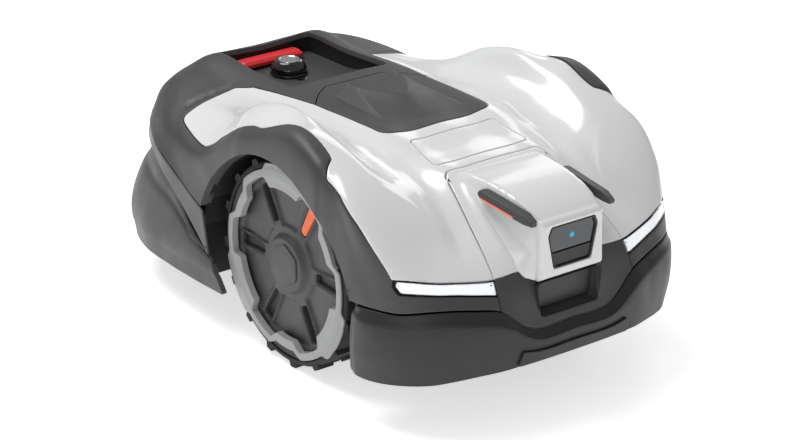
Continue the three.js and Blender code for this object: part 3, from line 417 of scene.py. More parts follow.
class Net:
    """The smooth surface through a set of lines and their mirror images, at (station, across)."""

    def __init__(self, lines, relief=None):
        half = np.array(lines, float)
        self.lines = np.concatenate([half[:0:-1] * (-1, 1, 1), half])
        self.side, self.last = len(half) - 1, half.shape[1] - 1
        self.relief = relief
        mid = np.linalg.norm(np.diff(half, axis=1), axis=2).mean(0)
        wide = np.linalg.norm(np.diff(half, axis=0), axis=2).mean(1)
        self.u_at = np.concatenate([[0], np.cumsum(mid)])
        out = np.concatenate([[0], np.cumsum(wide)])
        self.w_at = np.concatenate([-out[:0:-1], out])

    def plain(self, s, a):
        s = np.clip(s, 0, self.last)
        a = np.clip(a, -self.side, self.side)
        rows = [spline(np.broadcast_to(line[:, None], (len(line), len(s), 3)), s) for line in self.lines]
        return spline(np.array(rows), a + self.side)

    def slopes(self, s, a, e=0.02):
        s, a = np.clip(s, 0, self.last), np.clip(a, -self.side, self.side)
        s0, s1 = np.clip(s - e, 0, self.last), np.clip(s + e, 0, self.last)
        a0, a1 = np.clip(a - e, -self.side, self.side), np.clip(a + e, -self.side, self.side)
        along = (self.plain(s1, a) - self.plain(s0, a)) / (s1 - s0)[:, None]
        across = (self.plain(s, a1) - self.plain(s, a0)) / (a1 - a0)[:, None]
        normal = np.cross(along, across)
        return along, across, normal / np.linalg.norm(normal, axis=1, keepdims=True)

    def at(self, q, height=0.0):
        """Points at q (n, 2), raised by the relief and by height along the normal."""
        s, a = q[:, 0], q[:, 1]
        p = self.plain(s, a)
        rise = np.broadcast_to(np.asarray(height, float), s.shape).copy()
        if self.relief:
            rise = rise + self.relief(s, a, p)
        return p + self.slopes(s, a)[2] * rise[:, None]

    def flat(self, q):
        u = np.interp(q[:, 0], np.arange(self.last + 1), self.u_at)
        w = np.interp(q[:, 1], np.arange(-self.side, self.side + 1), self.w_at)
        return np.stack([u, w], 1)

    def unflat(self, f):
        s = np.interp(f[:, 0], self.u_at, np.arange(self.last + 1))
        a = np.interp(f[:, 1], self.w_at, np.arange(-self.side, self.side + 1))
        return np.stack([s, a], 1)

    def locate(self, targets, axes=(0, 1), near=(0, 13, -8, 8)):
        """The (station, across) whose point has the target values on the two axes."""
        targets = np.array(targets, float)
        s, a = np.meshgrid(np.linspace(near[0], near[1], 90), np.linspace(near[2], near[3], 90))
        grid = np.stack([s.ravel(), a.ravel()], 1)
        known = self.plain(grid[:, 0], grid[:, 1])[:, axes]
        q = grid[((targets[:, None] - known[None]) ** 2).sum(2).argmin(1)]
        for _ in range(12):
            along, across, _n = self.slopes(q[:, 0], q[:, 1])
            miss = targets - self.plain(q[:, 0], q[:, 1])[:, axes]
            jac = np.stack([along[:, axes], across[:, axes]], 2)
            step = np.linalg.solve(jac + np.eye(2) * 1e-9, miss[:, :, None])[:, :, 0]
            q = q + np.clip(step, -0.3, 0.3)
            q[:, 0] = np.clip(q[:, 0], 0, self.last)
            q[:, 1] = np.clip(q[:, 1], -self.side, self.side)
        return q

    def inset(self, loop, distance):
        """The closed loop moved to its left by a distance measured on the surface."""
        along, across, normal = self.slopes(loop[:, 0], loop[:, 1])
        p = self.plain(loop[:, 0], loop[:, 1])
        ahead = np.roll(p, -1, 0) - p
        left = np.cross(normal, ahead)
        left /= np.linalg.norm(left, axis=1, keepdims=True) + 1e-12
        before = np.roll(left, 1, 0)
        mitre = (left + before) / np.maximum(1 + (left * before).sum(1), 0.4)[:, None] * distance
        g11, g12, g22 = (along * along).sum(1), (along * across).sum(1), (across * across).sum(1)
        r1, r2 = (along * mitre).sum(1), (across * mitre).sum(1)
        det = g11 * g22 - g12 * g12
        return loop + np.stack([(g22 * r1 - g12 * r2) / det, (g11 * r2 - g12 * r1) / det], 1)

    def outline(self, corners, step):
        """A closed loop through (station, across, radius in mm) corners, in even steps."""
        sharp = self.flat(np.array([c[:2] for c in corners], float))
        flat = np.array(rounded([(*p, *c[2:]) for p, c in zip(sharp, corners)]))
        out = []
        for p, q in zip(flat, np.roll(flat, -1, 0)):
            n = max(1, int(round(np.linalg.norm(q - p) / step)))
            out += [p + (q - p) * k / n for k in range(n)]
        return self.unflat(np.array(out))


def inside(points, loops):
    """Which points lie inside the loops, by counting crossings."""
    odd = np.zeros(len(points), bool)
    x, y = points[:, 0], points[:, 1]
    for loop in loops:
        for (x0, y0), (x1, y1) in zip(loop, np.roll(loop, -1, 0)):
            if y0 != y1:
                odd ^= ((y0 > y) != (y1 > y)) & (x < (x1 - x0) * (y - y0) / (y1 - y0) + x0)
    return odd


def turn(loop, anticlockwise):
    area = (loop[:, 0] * np.roll(loop[:, 1], -1) - np.roll(loop[:, 0], -1) * loop[:, 1]).sum()
    return loop if (area > 0) == anticlockwise else loop[::-1]


def clear_of(points, loops, margin):
    keep = np.ones(len(points), bool)
    edge = np.concatenate(loops)
    for k in range(0, len(points), 2000):
        part = points[k:k + 2000]
        near = ((part[:, None] - edge[None]) ** 2).sum(2).min(1)
        keep[k:k + 2000] = near > margin ** 2
    return keep


def triangles(net, loops, step):
    """The points of the loops and an even grid between them, with their triangles."""
    flat = [net.flat(loop) for loop in loops]
    lo, hi = np.concatenate(flat).min(0), np.concatenate(flat).max(0)
    counts = np.maximum(2, np.ceil((hi - lo) / step).astype(int))
    grid = np.stack(np.meshgrid(*(np.linspace(lo[k], hi[k], counts[k]) for k in (0, 1))), 2).reshape(-1, 2)
    grid = grid[inside(grid, flat)]
    grid = grid[clear_of(grid, flat, 0.6 * step)]
    points = np.concatenate([*flat, grid])
    edges, base = [], 0
    for loop in flat:
        edges += [(base + k, base + (k + 1) % len(loop)) for k in range(len(loop))]
        base += len(loop)
    small = [Vector(p * MM) for p in points]
    _points, _edges, faces, origin, *_rest = delaunay_2d_cdt(small, edges, [], 0, 1e-9)
    source = [o[0] if o else -1 for o in origin]
    tris = np.array([[source[k] for k in f] for f in faces if all(source[k] >= 0 for k in f)])
    tris = tris[inside(points[tris].mean(1), flat)]
    return net.unflat(points), tris


def panel(net, loops, step=4.5, gap=GAP, edge=0.9, shell=SHELL, flange=7.0):
    """A moulded shell between loops: a rounded edge, a turned-down flange and an inner face."""
    loops = [turn(loop, k == 0) for k, loop in enumerate(loops)]
    core = [net.inset(loop, gap + FLANGE) for loop in loops]
    points, tris = triangles(net, core, step)
    n = len(points)
    depth = flange if callable(flange) else (lambda p: np.full(len(p), flange))
    verts = [net.at(points), net.at(points, -shell)]
    faces = [tuple(t) for t in tris] + [tuple(t[::-1] + n) for t in tris]
    base, total = 0, 2 * n
    for loop in loops:
        count = len(loop)
        outer = net.inset(loop, gap)
        drop = depth(net.plain(loop[:, 0], loop[:, 1]))
        rings = [net.at(net.inset(loop, gap + edge)), net.at(net.inset(loop, gap + 0.3 * edge), -0.3 * edge),
                 net.at(outer, -edge), net.at(outer, -drop), net.at(net.inset(loop, gap + FLANGE), -drop)]
        starts = [base] + [total + k * count for k in range(len(rings))] + [base + n]
        for a, b in zip(starts, starts[1:]):
            faces += [(b + k, b + (k + 1) % count, a + (k + 1) % count, a + k) for k in range(count)]
        verts += rings
        total += len(rings) * count
        base += count
    return Shape(np.concatenate(verts), faces)


# ---- relief on the body
def ramp(value, start, end):
    t = np.clip((value - start) / (end - start), 0, 1)
    return t * t * (3 - 2 * t)


FENDER_RISE, GROOVE_DEPTH = 1.8, 2.4
SCOOP_DEPTH = 2.3                  # for each place across that the scoop is wide


def fender_step(s, a, p):
    """The frame stands proud as a slab over the front of the wheel."""
    return FENDER_RISE * ramp(s, 6.0, 6.3) * (1 - ramp(s, 9.1, 9.3)) * ramp(np.abs(a), 5.5, 5.7)


def quarter_groove(s, a, p):
    """The recessed strip behind the white quarter panel, wider towards the side."""
    b = np.abs(a)
    rear = np.interp(b, (2.8, 5.5), (3.92, 3.66))
    front = np.interp(b, (2.8, 5.5), (3.99, 3.87))
    ends = ramp(b, 2.6, 2.75) * (1 - ramp(b, 5.5, 5.65))
    return -GROOVE_DEPTH * ramp(s, rear, rear + 0.05) * (1 - ramp(s, front - 0.03, front)) * ends


# The creases beside the scoop: (station, across) from its rear tip to its front tip.
SCOOP_INNER = [(5.2, 3.8), (5.8, 2.55), (6.6, 2.93), (8.5, 2.77), (10.05, 3.65), (10.95, 4.53)]
SCOOP_OUTER = [(5.2, 3.8), (5.6, 3.93), (6.98, 4.9), (8.33, 4.93), (9.9, 5.15), (10.95, 4.53)]


def scoop(s, a, p):
    """The long concave field along the inner flank of the crest, with a crease on each side."""
    inner, outer = (np.interp(s, *zip(*line)) for line in (SCOOP_INNER, SCOOP_OUTER))
    width = np.maximum(outer - inner, 1e-3)
    t = np.clip((np.abs(a) - inner) / width, 0, 1)
    return -SCOOP_DEPTH * width * (4 * t * (1 - t)) ** 0.8


def frame_relief(s, a, p):
    return fender_step(s, a, p) + quarter_groove(s, a, p)


DOME_HEIGHT, DOME_HALF, DOME_FRONT, DOME_REAR = 15.5, 60, -97, 44


def hatch_relief(s, a, p):
    """The dome: a flat crescent at its rear, a long front slope and two flanks that meet in ridges."""
    x, y = np.abs(p[:, 0]), p[:, 1]
    flank = (DOME_HALF - 0.02 * (y - DOME_FRONT) - x) / 20
    slope = (y - DOME_FRONT) / (57 + 0.035 * x ** 2)
    rear = (DOME_REAR - 0.002 * x ** 2 - y) / 11
    return DOME_HEIGHT * np.clip(np.minimum(np.minimum(flank, slope), rear), 0, 1)


BODY = Net(BODY_LINES, scoop)
FRAME = Net(BODY_LINES, frame_relief)
HATCH = Net(BODY_LINES, hatch_relief)


def mirror_loop(q):
    return np.array(q)[::-1] * (1, -1)


# ---- outlines shared by the panels
PLATE = [(-68, -142, 9), (68, -142, 9), (76, -207, 9), (-76, -207, 9)]
NOSE_REAR, NOSE_FRONT, NOSE_ROUND = (78, -225), (104, -362), 14
WELL = [(-72, 284, 10), (72, 284, 10), (80, 96, 16), (-80, 96, 16)]
HATCH_REAR = [(90, 29), (67, 55), (46, 70), (-46, 70), (-67, 55), (-90, 29)]

# The white shell's seams on the left, as (station, across, corner radius): beside the fender from
# the quarter panel to the headlight, and beside the spine from the quarter panel to the hatch.
FENDER_SEAM = [(QUARTER, 6.05, 12), (4.9, 6.12, 6), (5.33, 5.8), (5.85, 5.95), (6.53, 5.92), (6.85, 6.0),
               (7.53, 5.8), (7.8, 5.82, 8), (9.1, 5.97, 5), (9.4, 6.95, 5), (9.85, 6.3, 10), (10.6, 6.08)]
SPINE_SEAM = [(4.03, 3.07, 8), (4.35, 2.52, 8), (5.83, 2.10)]
HATCH_CORNER = (HATCH_FRONT, 2.15, 16)
LAMP_END = [(LAMP_TOP, 5.95), (12.2, 6.03, 4), (12.43, 5.92, 4)]
LAMP_INNER = 12.53                 # lower edge of the headlight beside the nose


def line_between(p, q, count):
    return [tuple(np.array(p) + (np.array(q) - np.array(p)) * t) for t in np.linspace(0, 1, count)]


def nose_side():
    """The seam beside the nose cover, from the front to the rear, on the left."""
    q = BODY.locate(line_between(NOSE_FRONT, NOSE_REAR, 12), near=(9, 12.5, 0, 3))
    q[0, 0] = LAMP_TOP
    return q


def nose_seam():
    """The whole seam round the nose cover, from the left front corner to the right one."""
    left = nose_side()
    straight = line_between(NOSE_REAR, (-NOSE_REAR[0], NOSE_REAR[1]), 9)[1:-1]
    rear = BODY.locate(straight, near=(9, 11.5, -3, 3))
    corners = [(*left[-1], NOSE_ROUND), *rear, (*(left[-1] * (1, -1)), NOSE_ROUND)]
    return [*left[:-1], *corners, *mirror_loop(left[:-1])]


def hatch_rear():
    """The seam behind the hatch, from the left to the right, with its facets."""
    q = BODY.locate(HATCH_REAR, near=(4.5, 7.5, -2.5, 2.5))
    seam = (SPINE_SEAM[-1][0], HATCH_FRONT), (SPINE_SEAM[-1][1], HATCH_CORNER[1])
    ends = np.interp(q[[0, -1], 0], *seam)
    q[0, 1], q[-1, 1] = ends[0], -ends[1]
    return [tuple(q[0]), *((*corner, 6) for corner in q[1:-1]), tuple(q[-1])]


def across(corners):
    """The same corners on the other side, in the other order."""
    return [(s, -a, *radius) for s, a, *radius in corners[::-1]]


def arch():
    """The wheel arch on the left, from its front foot over the tyre to its rear foot."""
    t = np.linspace(math.pi - 0.06, 0.06, 60)
    reach = ARCH_R + ARCH_FLARE * np.cos(t) ** 4
    return np.stack([WHEEL_Y - reach * np.cos(math.pi - t), WHEEL_Z + ARCH_R * np.sin(t)], 1)


def arch_seam():
    """The arch's edge on the frame, from the rear foot to the front one, where it is above the skirt."""
    yz = arch()[::-1]
    q = BODY.locate(yz, axes=(1, 2), near=(3.5, 13, 5.5, 8))
    on = np.linalg.norm(BODY.plain(q[:, 0], q[:, 1])[:, 1:] - yz, axis=1) < 0.8
    return q[on]


def xy_loop(net, corners, count, near):
    return net.locate(resampled(rounded(corners), count), near=near)


# ---- the shell's panels
def make_upper_shell():
    half = [HATCH_CORNER, *SPINE_SEAM[::-1], *FENDER_SEAM, (LAMP_TOP, EDGE, 3)]
    loop = BODY.outline([*half, *nose_seam(), *across(half)], LOOP_STEP)
    plate = xy_loop(BODY, PLATE, 110, (8, 11.5, -3, 3))
    panel(BODY, [loop, plate], step=3.8).piece("upper_shell", "white_shell")
    panel(BODY, [plate], edge=0.6).piece("label_plate", "white_shell")


def make_nose_cover():
    cover = panel(NOSE, [BODY.outline(nose_seam(), LOOP_STEP)])
    cover.add(hood())
    cover.piece("nose_cover", "white_shell")


def make_hatch():
    loop = HATCH.outline([*hatch_rear(), *across([HATCH_CORNER]), HATCH_CORNER], 4)
    panel(HATCH, [loop], step=2.4).piece("hatch_lid", "dark_shell")


def fender_lip(p):
    """The arch's edge turns deep into the wheel housing; other edges only as a moulded flange."""
    radius = np.hypot(p[:, 1] - WHEEL_Y, p[:, 2] - WHEEL_Z)
    over = (np.abs(p[:, 0]) > 215) & (radius < ARCH_R + ARCH_FLARE + 3) & (p[:, 2] > 158)
    return np.where(over, 17.0, 7.0)


def make_frame():
    rear = hatch_rear()
    half = [(0, SKIRT), *arch_seam(), (FRONT, SKIRT), (FRONT, SPINE), (LAMP_INNER, SPINE), *LAMP_END[::-1],
            *FENDER_SEAM[::-1], *SPINE_SEAM, rear[0]]
    outline = FRAME.outline([*half, *rear[1:-1], *across(half)], LOOP_STEP)
    well = xy_loop(FRAME, WELL, 150, WELL_NEAR)
    panel(FRAME, [outline, well], step=4.0, flange=fender_lip).piece("frame", "dark_shell")


# ---- nose: hood, camera, fins
# The hood's sections: y, half-width and height of the top, half-width and height of the foot.
HOOD = np.array([(-232, 62, 279.5, 66, 274), (-246, 60, 284, 69, 270), (-272, 58, 284.5, 73, 258),
                 (-300, 56, 283, 77, 240), (-340, 53, 276, 78, 210), (-362, 51, 268, 68, 197),
                 (-376, 50, 260, 52, 190.5)], float)
HOOD_FACE, HOOD_ROUND, HOOD_POINTS = -385, 9, 120
WINDOW_MID, WINDOW_HALF_X, WINDOW_HALF_Z = 220, 36, 32
WINDOW = [(0, 194), (31, 194, 5), (41, 240, 6), (36, 252, 4), (-36, 252, 4), (-41, 240, 6), (-31, 194, 5)]


def hood_ring(y, top, z_top, foot, z_foot, inset=0.0):
    """One closed section of the hood, starting at the middle of its underside."""
    top, foot, z_top, low = top - inset, foot - inset, z_top - inset, z_foot - 9 + inset
    waist = (top + 0.3 * (foot - top), z_top - 0.62 * (z_top - z_foot), 14)
    corners = [(0, low), (foot, low, 3), (foot, z_foot, 3), waist, (top, z_top, 4.5)]
    outline = rounded([*corners, *[(-c[0], *c[1:]) for c in corners[:0:-1]]], 8)
    return [(x, y, z) for x, z in resampled(outline, HOOD_POINTS)]


def window_ring(y, by=0.0):
    """The window's outline at depth y, drawn in by a distance."""
    wide, high = 1 - by / WINDOW_HALF_X, 1 - by / WINDOW_HALF_Z
    outline = rounded([(x * wide, WINDOW_MID + (z - WINDOW_MID) * high, *r) for x, z, *r in WINDOW])
    return [(x, y, z) for x, z in resampled(outline, HOOD_POINTS)]


def hood():
    rings = [hood_ring(*section) for section in curve_through(HOOD, 44)]
    for angle in np.linspace(0, math.pi / 2, 7)[1:]:
        y = HOOD[-1, 0] + (HOOD_FACE - HOOD[-1, 0]) * math.sin(angle)
        rings.append(hood_ring(y, *HOOD[-1, 1:], inset=HOOD_ROUND * 0.75 * (1 - math.cos(angle))))
    rings += [window_ring(HOOD_FACE, 0), window_ring(HOOD_FACE + 0.6, 0.8), window_ring(HOOD_FACE + 22, 1.6)]
    return loft(rings)


def foot_fillet(s, a, p):
    """The nose surface rises a little where it meets the foot of the hood."""
    foot = np.interp(-p[:, 1], -HOOD[:, 0], HOOD[:, 3])
    away = np.clip(np.abs(p[:, 0]) - foot + 3, 0, 30)
    return 3.0 * np.exp(-away / 5) * ramp(-p[:, 1], 236, 262) * (1 - ramp(-p[:, 1], 352, 366))


NOSE = Net(BODY_LINES, foot_fillet)


def make_camera_window():
    """A thin black frame, a glossy window above, a plain plate below and a small lens with a painted blue
    glint.
    """
    section = ((-366, 1.8), (-383.8, 1.8), (-384.3, 2.3), (-384.1, 3.4), (-383.2, 3.9), (-372, 4.4))
    bezel = loft([window_ring(y, by) for y, by in section])
    plate = [(32.5, 214.5), (28.2, 198), (-28.2, 198), (-32.5, 214.5)]
    bezel.add(loft([[(x, y, z) for x, z in plate] for y in (-370, -382.2)]), slot=1)
    bezel.piece("camera_bezel", "black_plastic", "bumper_shell", sharp=30, bevel=0.5)
    outline = [(-32.9, 215.8), (32.9, 215.8), (37, 238), (33, 248.6), (-33, 248.6), (-37, 238)]
    glass = loft([[(x, y, z) for x, z in outline] for y in (-376, -381.6)])
    glass.piece("camera_glass", "dark_glass", bevel=0.8)
    lens = turned([(0.01, 0), (2.8, 0), (3.6, 0.5), (3.0, 1.0), (2.0, 1.3), (0.01, 1.5)], 40)
    seat = Matrix.Translation((0, -381.3, 233)) @ Matrix.Rotation(math.pi / 2, 4, "X")
    # The lens's blue glow is a painted glint.
    lens.moved(seat).piece("camera_lens", "gloss_black", look="lens_blue_painted_glint")


FIN = [(-5, 0.5), (6, -0.5), (10, -6), (7.5, -11.5), (-5, -11.5)]
FIN_REAR, FIN_FRONT, FIN_LIFT = (61, -285, 269.5), (57, -384, 259.5), 9.5
FIN_OUT, FIN_MID = 4, 5.5          # the section's shift outwards, and its middle below the top


def fin_ring(t, scale, drop=0.0):
    """The fin's section at t from its rear (0) to its front (1)."""
    x, y, z = (a + (b - a) * t for a, b in zip(FIN_REAR, FIN_FRONT))
    return [(x + FIN_OUT + a * scale, y, z + FIN_LIFT + (b + FIN_MID) * scale - FIN_MID - drop)
            for a, b in FIN]


def make_fins():
    places = ((0, 0.6, 1), (0.08, 0.97), (0.16, 1), (0.86, 1), (1, 0.62, 1.5))
    pair(loft([fin_ring(*place) for place in places]), "fin", "dark_shell", bevel=0.6)
    section = [(8.2, -9.0), (10.4, -6.6), (10.4, -7.8), (8.6, -11.0)]
    ends = [Vector(FIN_REAR).lerp(Vector(FIN_FRONT), t) for t in (0.1, 0.7)]
    strip = loft([[(x + FIN_OUT + a, y, z + FIN_LIFT + b) for a, b in section] for x, y, z in ends])
    pair(strip, "fin_light", "fin_led", bevel=0.2)


# ---- headlights and grip panel
LAMP_DEPTH, REFLECTOR_DEPTH, RIB_HEIGHT, RIB_PITCH = 3.4, 2.3, 0.5, 9


def make_headlights():
    """A clear lens over a reflector with cross ribs, lit up by a painted white shine, in a black housing."""
    bay = BODY.outline([(LAMP_TOP, SPINE), *LAMP_END, (LAMP_INNER, SPINE)], 3)
    top, foot = LAMP_TOP + 0.02, LAMP_INNER - 0.02
    clear = turn(BODY.outline([(top, SPINE), (top, 5.9, 3), (12.2, 5.97, 4), (12.41, 5.86, 4),
                               (foot, SPINE)], 3), True)
    deep = Net(BODY_LINES, lambda s, a, p: np.full(len(s), -LAMP_DEPTH))
    bright = Net(BODY_LINES, lambda s, a, p: -REFLECTOR_DEPTH + RIB_HEIGHT * np.abs(np.sin(a * RIB_PITCH)))
    housing = panel(deep, [bay], step=3, flange=3, shell=1.5)
    housing.add(panel(bright, [bright.inset(clear, 0.9)], step=1.6, flange=0.9, shell=0.6), slot=1)
    lens = panel(BODY, [bright.inset(clear, 0.4)], step=3, edge=0.6, shell=1.2, flange=1.6)
    # The housing's second material is the reflector's painted white shine.
    pair(housing, "headlight_housing", "black_plastic", "reflector")
    pair(lens, "headlight_lens", "lamp_lens")


TRAY = [(49, 177, 6), (46, 134, 6), (-46, 134, 6), (-49, 177, 6)]
TRAY_BACK, TRAY_MID, TRAY_POINTS = -366, 158, 100


def tray_ring(y, by):
    """The recess's outline at depth y, drawn in by a distance."""
    outline = rounded([(x - by * np.sign(x), z - by * np.sign(z - TRAY_MID), r) for x, z, r in TRAY])
    return [(x, y, z) for x, z in resampled(outline, TRAY_POINTS)]


def make_grip_panel():
    face = BODY.outline([(LAMP_TOP, SPINE, 3), (LAMP_TOP, -SPINE, 3), (FRONT, -SPINE, 2),
                         (FRONT, SPINE, 2)], 3)
    xz = np.array([(x, z) for x, _y, z in tray_ring(0, 0)])
    hole = BODY.locate(xz, axes=(0, 2), near=(12, 13, -2, 2))
    shape = panel(BODY, [face, hole], gap=0.3, step=3.5, flange=4)
    tray = loft([tray_ring(-381, -2.2), tray_ring(TRAY_BACK + 4, 1.5), tray_ring(TRAY_BACK + 0.9, 3),
                 tray_ring(TRAY_BACK, 6)], caps=False)
    tray.faces.append(tuple(range(len(tray.verts) - TRAY_POINTS, len(tray.verts))))
    tray.slots.append(0)
    shape.add(tray)
    shape.piece("grip_panel", "dark_shell")


def make_contacts():
    """Thin charging pads under the ceiling of the recess."""
    pad = [(15, -373), (23, -373), (23, -367.4), (15, -367.4)]
    pair(loft([[(x, y, z) for x, y in pad] for z in (175.8, 176.6)]), "charge_contact", "steel", bevel=0.2)


# ---- bumper, tail and band
END_BEVEL, SHOULDER, SKID_RISE = 7.0, 1.5, 3.4
SEAM_CLOSE = 1.4                   # how far the bumper's top edge is raised towards the frame
TAIL_GROOVE, TAIL_CREASE = 2.0, 1.0


def bumper_relief(s, a, p):
    """A bevel along the ends beside the wheels and a crisp shoulder under the seam."""
    end = -END_BEVEL * np.clip((np.abs(a) - 7.55) / 0.45, 0, 1)
    shoulder = -SHOULDER * (1 - ramp(s, 0.9, 1.05)) * ramp(s, 0.1, 0.6)
    return end + shoulder


def make_bumper():
    lines = np.array(BUMPER_LINES, float)
    lines[:, 0, 2] += SEAM_CLOSE
    net = Net(lines, bumper_relief)
    loop = net.outline([(0, -8, 2), (0, 8, 2), (3, 8, 3), (3, -8, 3)], 4)
    panel(net, [loop], step=3.5, gap=0.0, flange=6).piece("bumper", "bumper_shell")
    under = Net(BUMPER_LINES, lambda s, a, p: np.full(len(s), SKID_RISE))
    strip = under.outline([(2.05, -1.45, 5), (2.05, 1.45, 5), (2.92, 1.62, 4), (2.92, -1.62, 4)], 3)
    skid = panel(under, [strip], step=4, gap=0.0, flange=3, edge=1.2)
    skid.piece("skid_strip", "bumper_shell")


def tail_relief(s, a, p):
    """A groove below the top edge and a crease along the lower third."""
    groove = -TAIL_GROOVE * np.exp(-((s - 2.45) / 0.12) ** 2)
    return groove + TAIL_CREASE * ramp(s, 0.55, 0.6) * (1 - ramp(s, 0.6, 1.3))


def make_rear():
    tail = Net(TAIL_LINES, tail_relief)
    loop = tail.outline([(0, -7, 6), (0, 7, 6), (3, 7, 2), (3, -7, 2)], LOOP_STEP)
    panel(tail, [loop], step=4.5, gap=0.2, edge=1.6).piece("tail_skirt", "dark_shell")
    band = Net(BAND_LINES)
    loop = band.outline([(0, -7, 1), (0, 7, 1), (1, 7, 1), (1, -7, 1)], LOOP_STEP)
    strip = panel(band, [loop], step=4, gap=0.1, flange=2.8)
    strip.piece("rear_band", "grey_trim", look="band_grey")


# ---- control well
DECK = [(89, 293), (104, 291), (128, 286.5), (156, 276.5), (172, 271.5), (190, DECK_Z),
        (240, DECK_Z), (286, DECK_Z)]
RAMP_HALF, SHELF_HALF, SHELF_START = 76, 93, 150
WELL_MID, WELL_NEAR = 190, (0.5, 6.5, -3, 3)
# A black liner along the well's walls is painted shade, darkening walls that lie in shadow.
SHADE_LINER_GAP, SHADE_LINER_WALL = 2.5, 1.2


def shade_liner_back(ring):
    """The outer face of the well's black liner of painted shade, behind its inner one."""
    return [(x * 1.012, y + SHADE_LINER_WALL * np.sign(y - WELL_MID), z) for x, y, z in ring]


def make_deck():
    """The ramp and shelf, and a black liner of painted shade down the well's walls, where they lie in shadow.
    """
    curve = curve_through([(0, y, z) for y, z in DECK], 60)
    half = lambda y: RAMP_HALF if y < SHELF_START else SHELF_HALF
    top = [[(half(y) * k, y, z) for k in np.linspace(-1, 1, 9)] for _x, y, z in curve]
    under = [[(x, y, z - 3) for x, y, z in row[::-1]] for row in top]
    deck = loft([a + b for a, b in zip(top, under)])
    grown = [(x + SHADE_LINER_GAP * np.sign(x), y + SHADE_LINER_GAP * np.sign(y - WELL_MID), r) for x, y, r in WELL]
    wall = resampled(rounded(grown), 120)
    foot = [(x, y, max(DECK_Z - 4, np.interp(y, curve[:, 1], curve[:, 2]) - 4)) for x, y in wall]
    rim = BODY.plain(*BODY.locate(wall, near=WELL_NEAR).T)
    head = [(x, y, z - 3.6) for (x, y), z in zip(wall, rim[:, 2])]
    # The liner's black is painted shade on the well's shadowed walls.
    deck.add(loft([foot, shade_liner_back(foot), shade_liner_back(head), head, foot], caps=False), slot=1)
    deck.piece("well_deck", "dark_shell", "black_plastic")


def make_button():
    def ring(z, by):
        wide, deep = BUTTON_HALF_X - by, BUTTON_HALF_Y - by
        outline = rounded([(wide, -deep, 5), (wide, deep, 5), (-wide, deep, 5), (-wide, -deep, 5)])
        return [(x, y + BUTTON_Y, z + DECK_Z) for x, y in resampled(outline, 96)]

    section = ((3.5, 1), (4, 0.3), (8, 0), (9, 0.5), (9.6, 1.2), (12.2, 3.4), (12.9, 4.4), (13, 5.6))
    loft([ring(z, by) for z, by in section]).piece("stop_button", "red_button")


# The knob's section: radius, height over the foot, and the share of the flutes' depth.
KNOB = [(0.01, 4.5, 0), (23.5, 4.5, 0), (24.9, 5.4, 0.3), (24.8, 9, 1), (23.6, 12, 1), (21.4, 15.4, 0.7),
        (19.4, 18, 0), (18, 19.4, 0), (15.6, 20, 0), (15.4, 19.6, 0), (15.4, 15, 0), (0.01, 15, 0)]
FLUTES, FLUTE_DEPTH = 14, 0.028


def knob_ring(r, z, flute):
    """One fluted section of the knob."""
    wave = lambda t: 1 - FLUTE_DEPTH * flute * max(0.0, math.cos(FLUTES * t)) ** 2
    return [(r * wave(t) * math.cos(t), r * wave(t) * math.sin(t), z)
            for t in np.linspace(0, 2 * math.pi, 140, endpoint=False)]


def make_dial():
    """Selector knob: a glossy body with grip flutes, a chrome ring and a grey push cap."""
    foot = DECK_Z + 0.4
    at = Matrix.Translation((0, KNOB_Y, 0))
    collar = turned([(13, foot), (26.5, foot), (26.5, foot + 2.6), (25.6, foot + 3.8), (22, foot + 4),
                     (13, foot + 4)], closed=True).moved(at)
    mark = [(-9, -31, foot), (9, -31, foot), (0, -43, foot)]
    collar.add(loft([mark, [(x, y, z + 0.9) for x, y, z in mark]]).moved(at))
    collar.piece("knob_collar", "gloss_black")
    rings = [knob_ring(r, z + foot, flute) for r, z, flute in KNOB]
    loft(rings).moved(at).piece("knob", "gloss_black")
    turned([(12, foot + 15.4), (15, foot + 15.4), (15, foot + 19.6), (14.6, foot + 20.4), (12.8, foot + 20.6),
            (12, foot + 20)], closed=True).moved(at).piece("knob_ring", "chrome")
    cap = turned([(0.01, foot + 17.2), (11.4, foot + 17.2), (11.6, foot + 19.4), (11, foot + 20),
                  (0.01, foot + 20.2)])
    cap.moved(at).piece("knob_cap", "grey_trim", look="knob_grey")


# ---- wheels
# Wheel pieces are made with the axis along Z and the outer face up, then turned to face +X.
WHEEL = Matrix(((0, 0, 1, WHEEL_X), (1, 0, 0, WHEEL_Y), (0, 1, 0, WHEEL_Z), (0, 0, 0, 1)))
HALF_W, SIDEWALL, LUGS = TYRE_W / 2, TYRE_W / 2 - 2, 16
COVER_Z, COVER_R, CAP_R, SPOKES, INSERT_SLOT = HALF_W - 9.5, 120.5, 30, 6, 2
DIPS, DIP_HALF, DIP_RAMP = (30, 150, 270), 10, 6      # where the trim ring dips inwards, in degrees
PADS, PAD_HALF, PAD_RAMP = (90, 210, 330), 17, 3      # where it widens to a pad over the tyre
TRIM_IN, TRIM_OUT, TRIM_STEP, DIP_DEPTH, PAD_REACH = 115.8, 126, 13.8, 11, 8
DISC_HALF = 140


def disc_net(relief=None):
    """A flat net across the wheel's face, whose relief gives the moulded shape."""
    cols, rows = (0, DISC_HALF / 2, DISC_HALF), (DISC_HALF, DISC_HALF / 3, -DISC_HALF / 3, -DISC_HALF)
    return Net([[[x, y, 0] for y in rows] for x in cols], relief)


def disc_loop(points):
    p = np.array(points, float)
    return np.stack([(DISC_HALF - p[:, 1]) * 1.5 / DISC_HALF, p[:, 0] * 2 / DISC_HALF], 1)


def polar(r, angle):
    return np.stack([r * np.cos(angle), r * np.sin(angle)], 1)


def radius_and_degrees(p):
    return np.hypot(p[:, 0], p[:, 1]), np.degrees(np.arctan2(p[:, 1], p[:, 0]))


def circle(r, count):
    return polar(r, np.linspace(0, 2 * math.pi, count, endpoint=False))


def nearness(angle, places, half, slope):
    """1 within half of a place, and down to 0 over the slope, in degrees."""
    away = np.abs((angle[:, None] - np.array(places) + 540) % 360 - 180).min(1)
    return np.clip((half + slope - away) / slope, 0, 1)


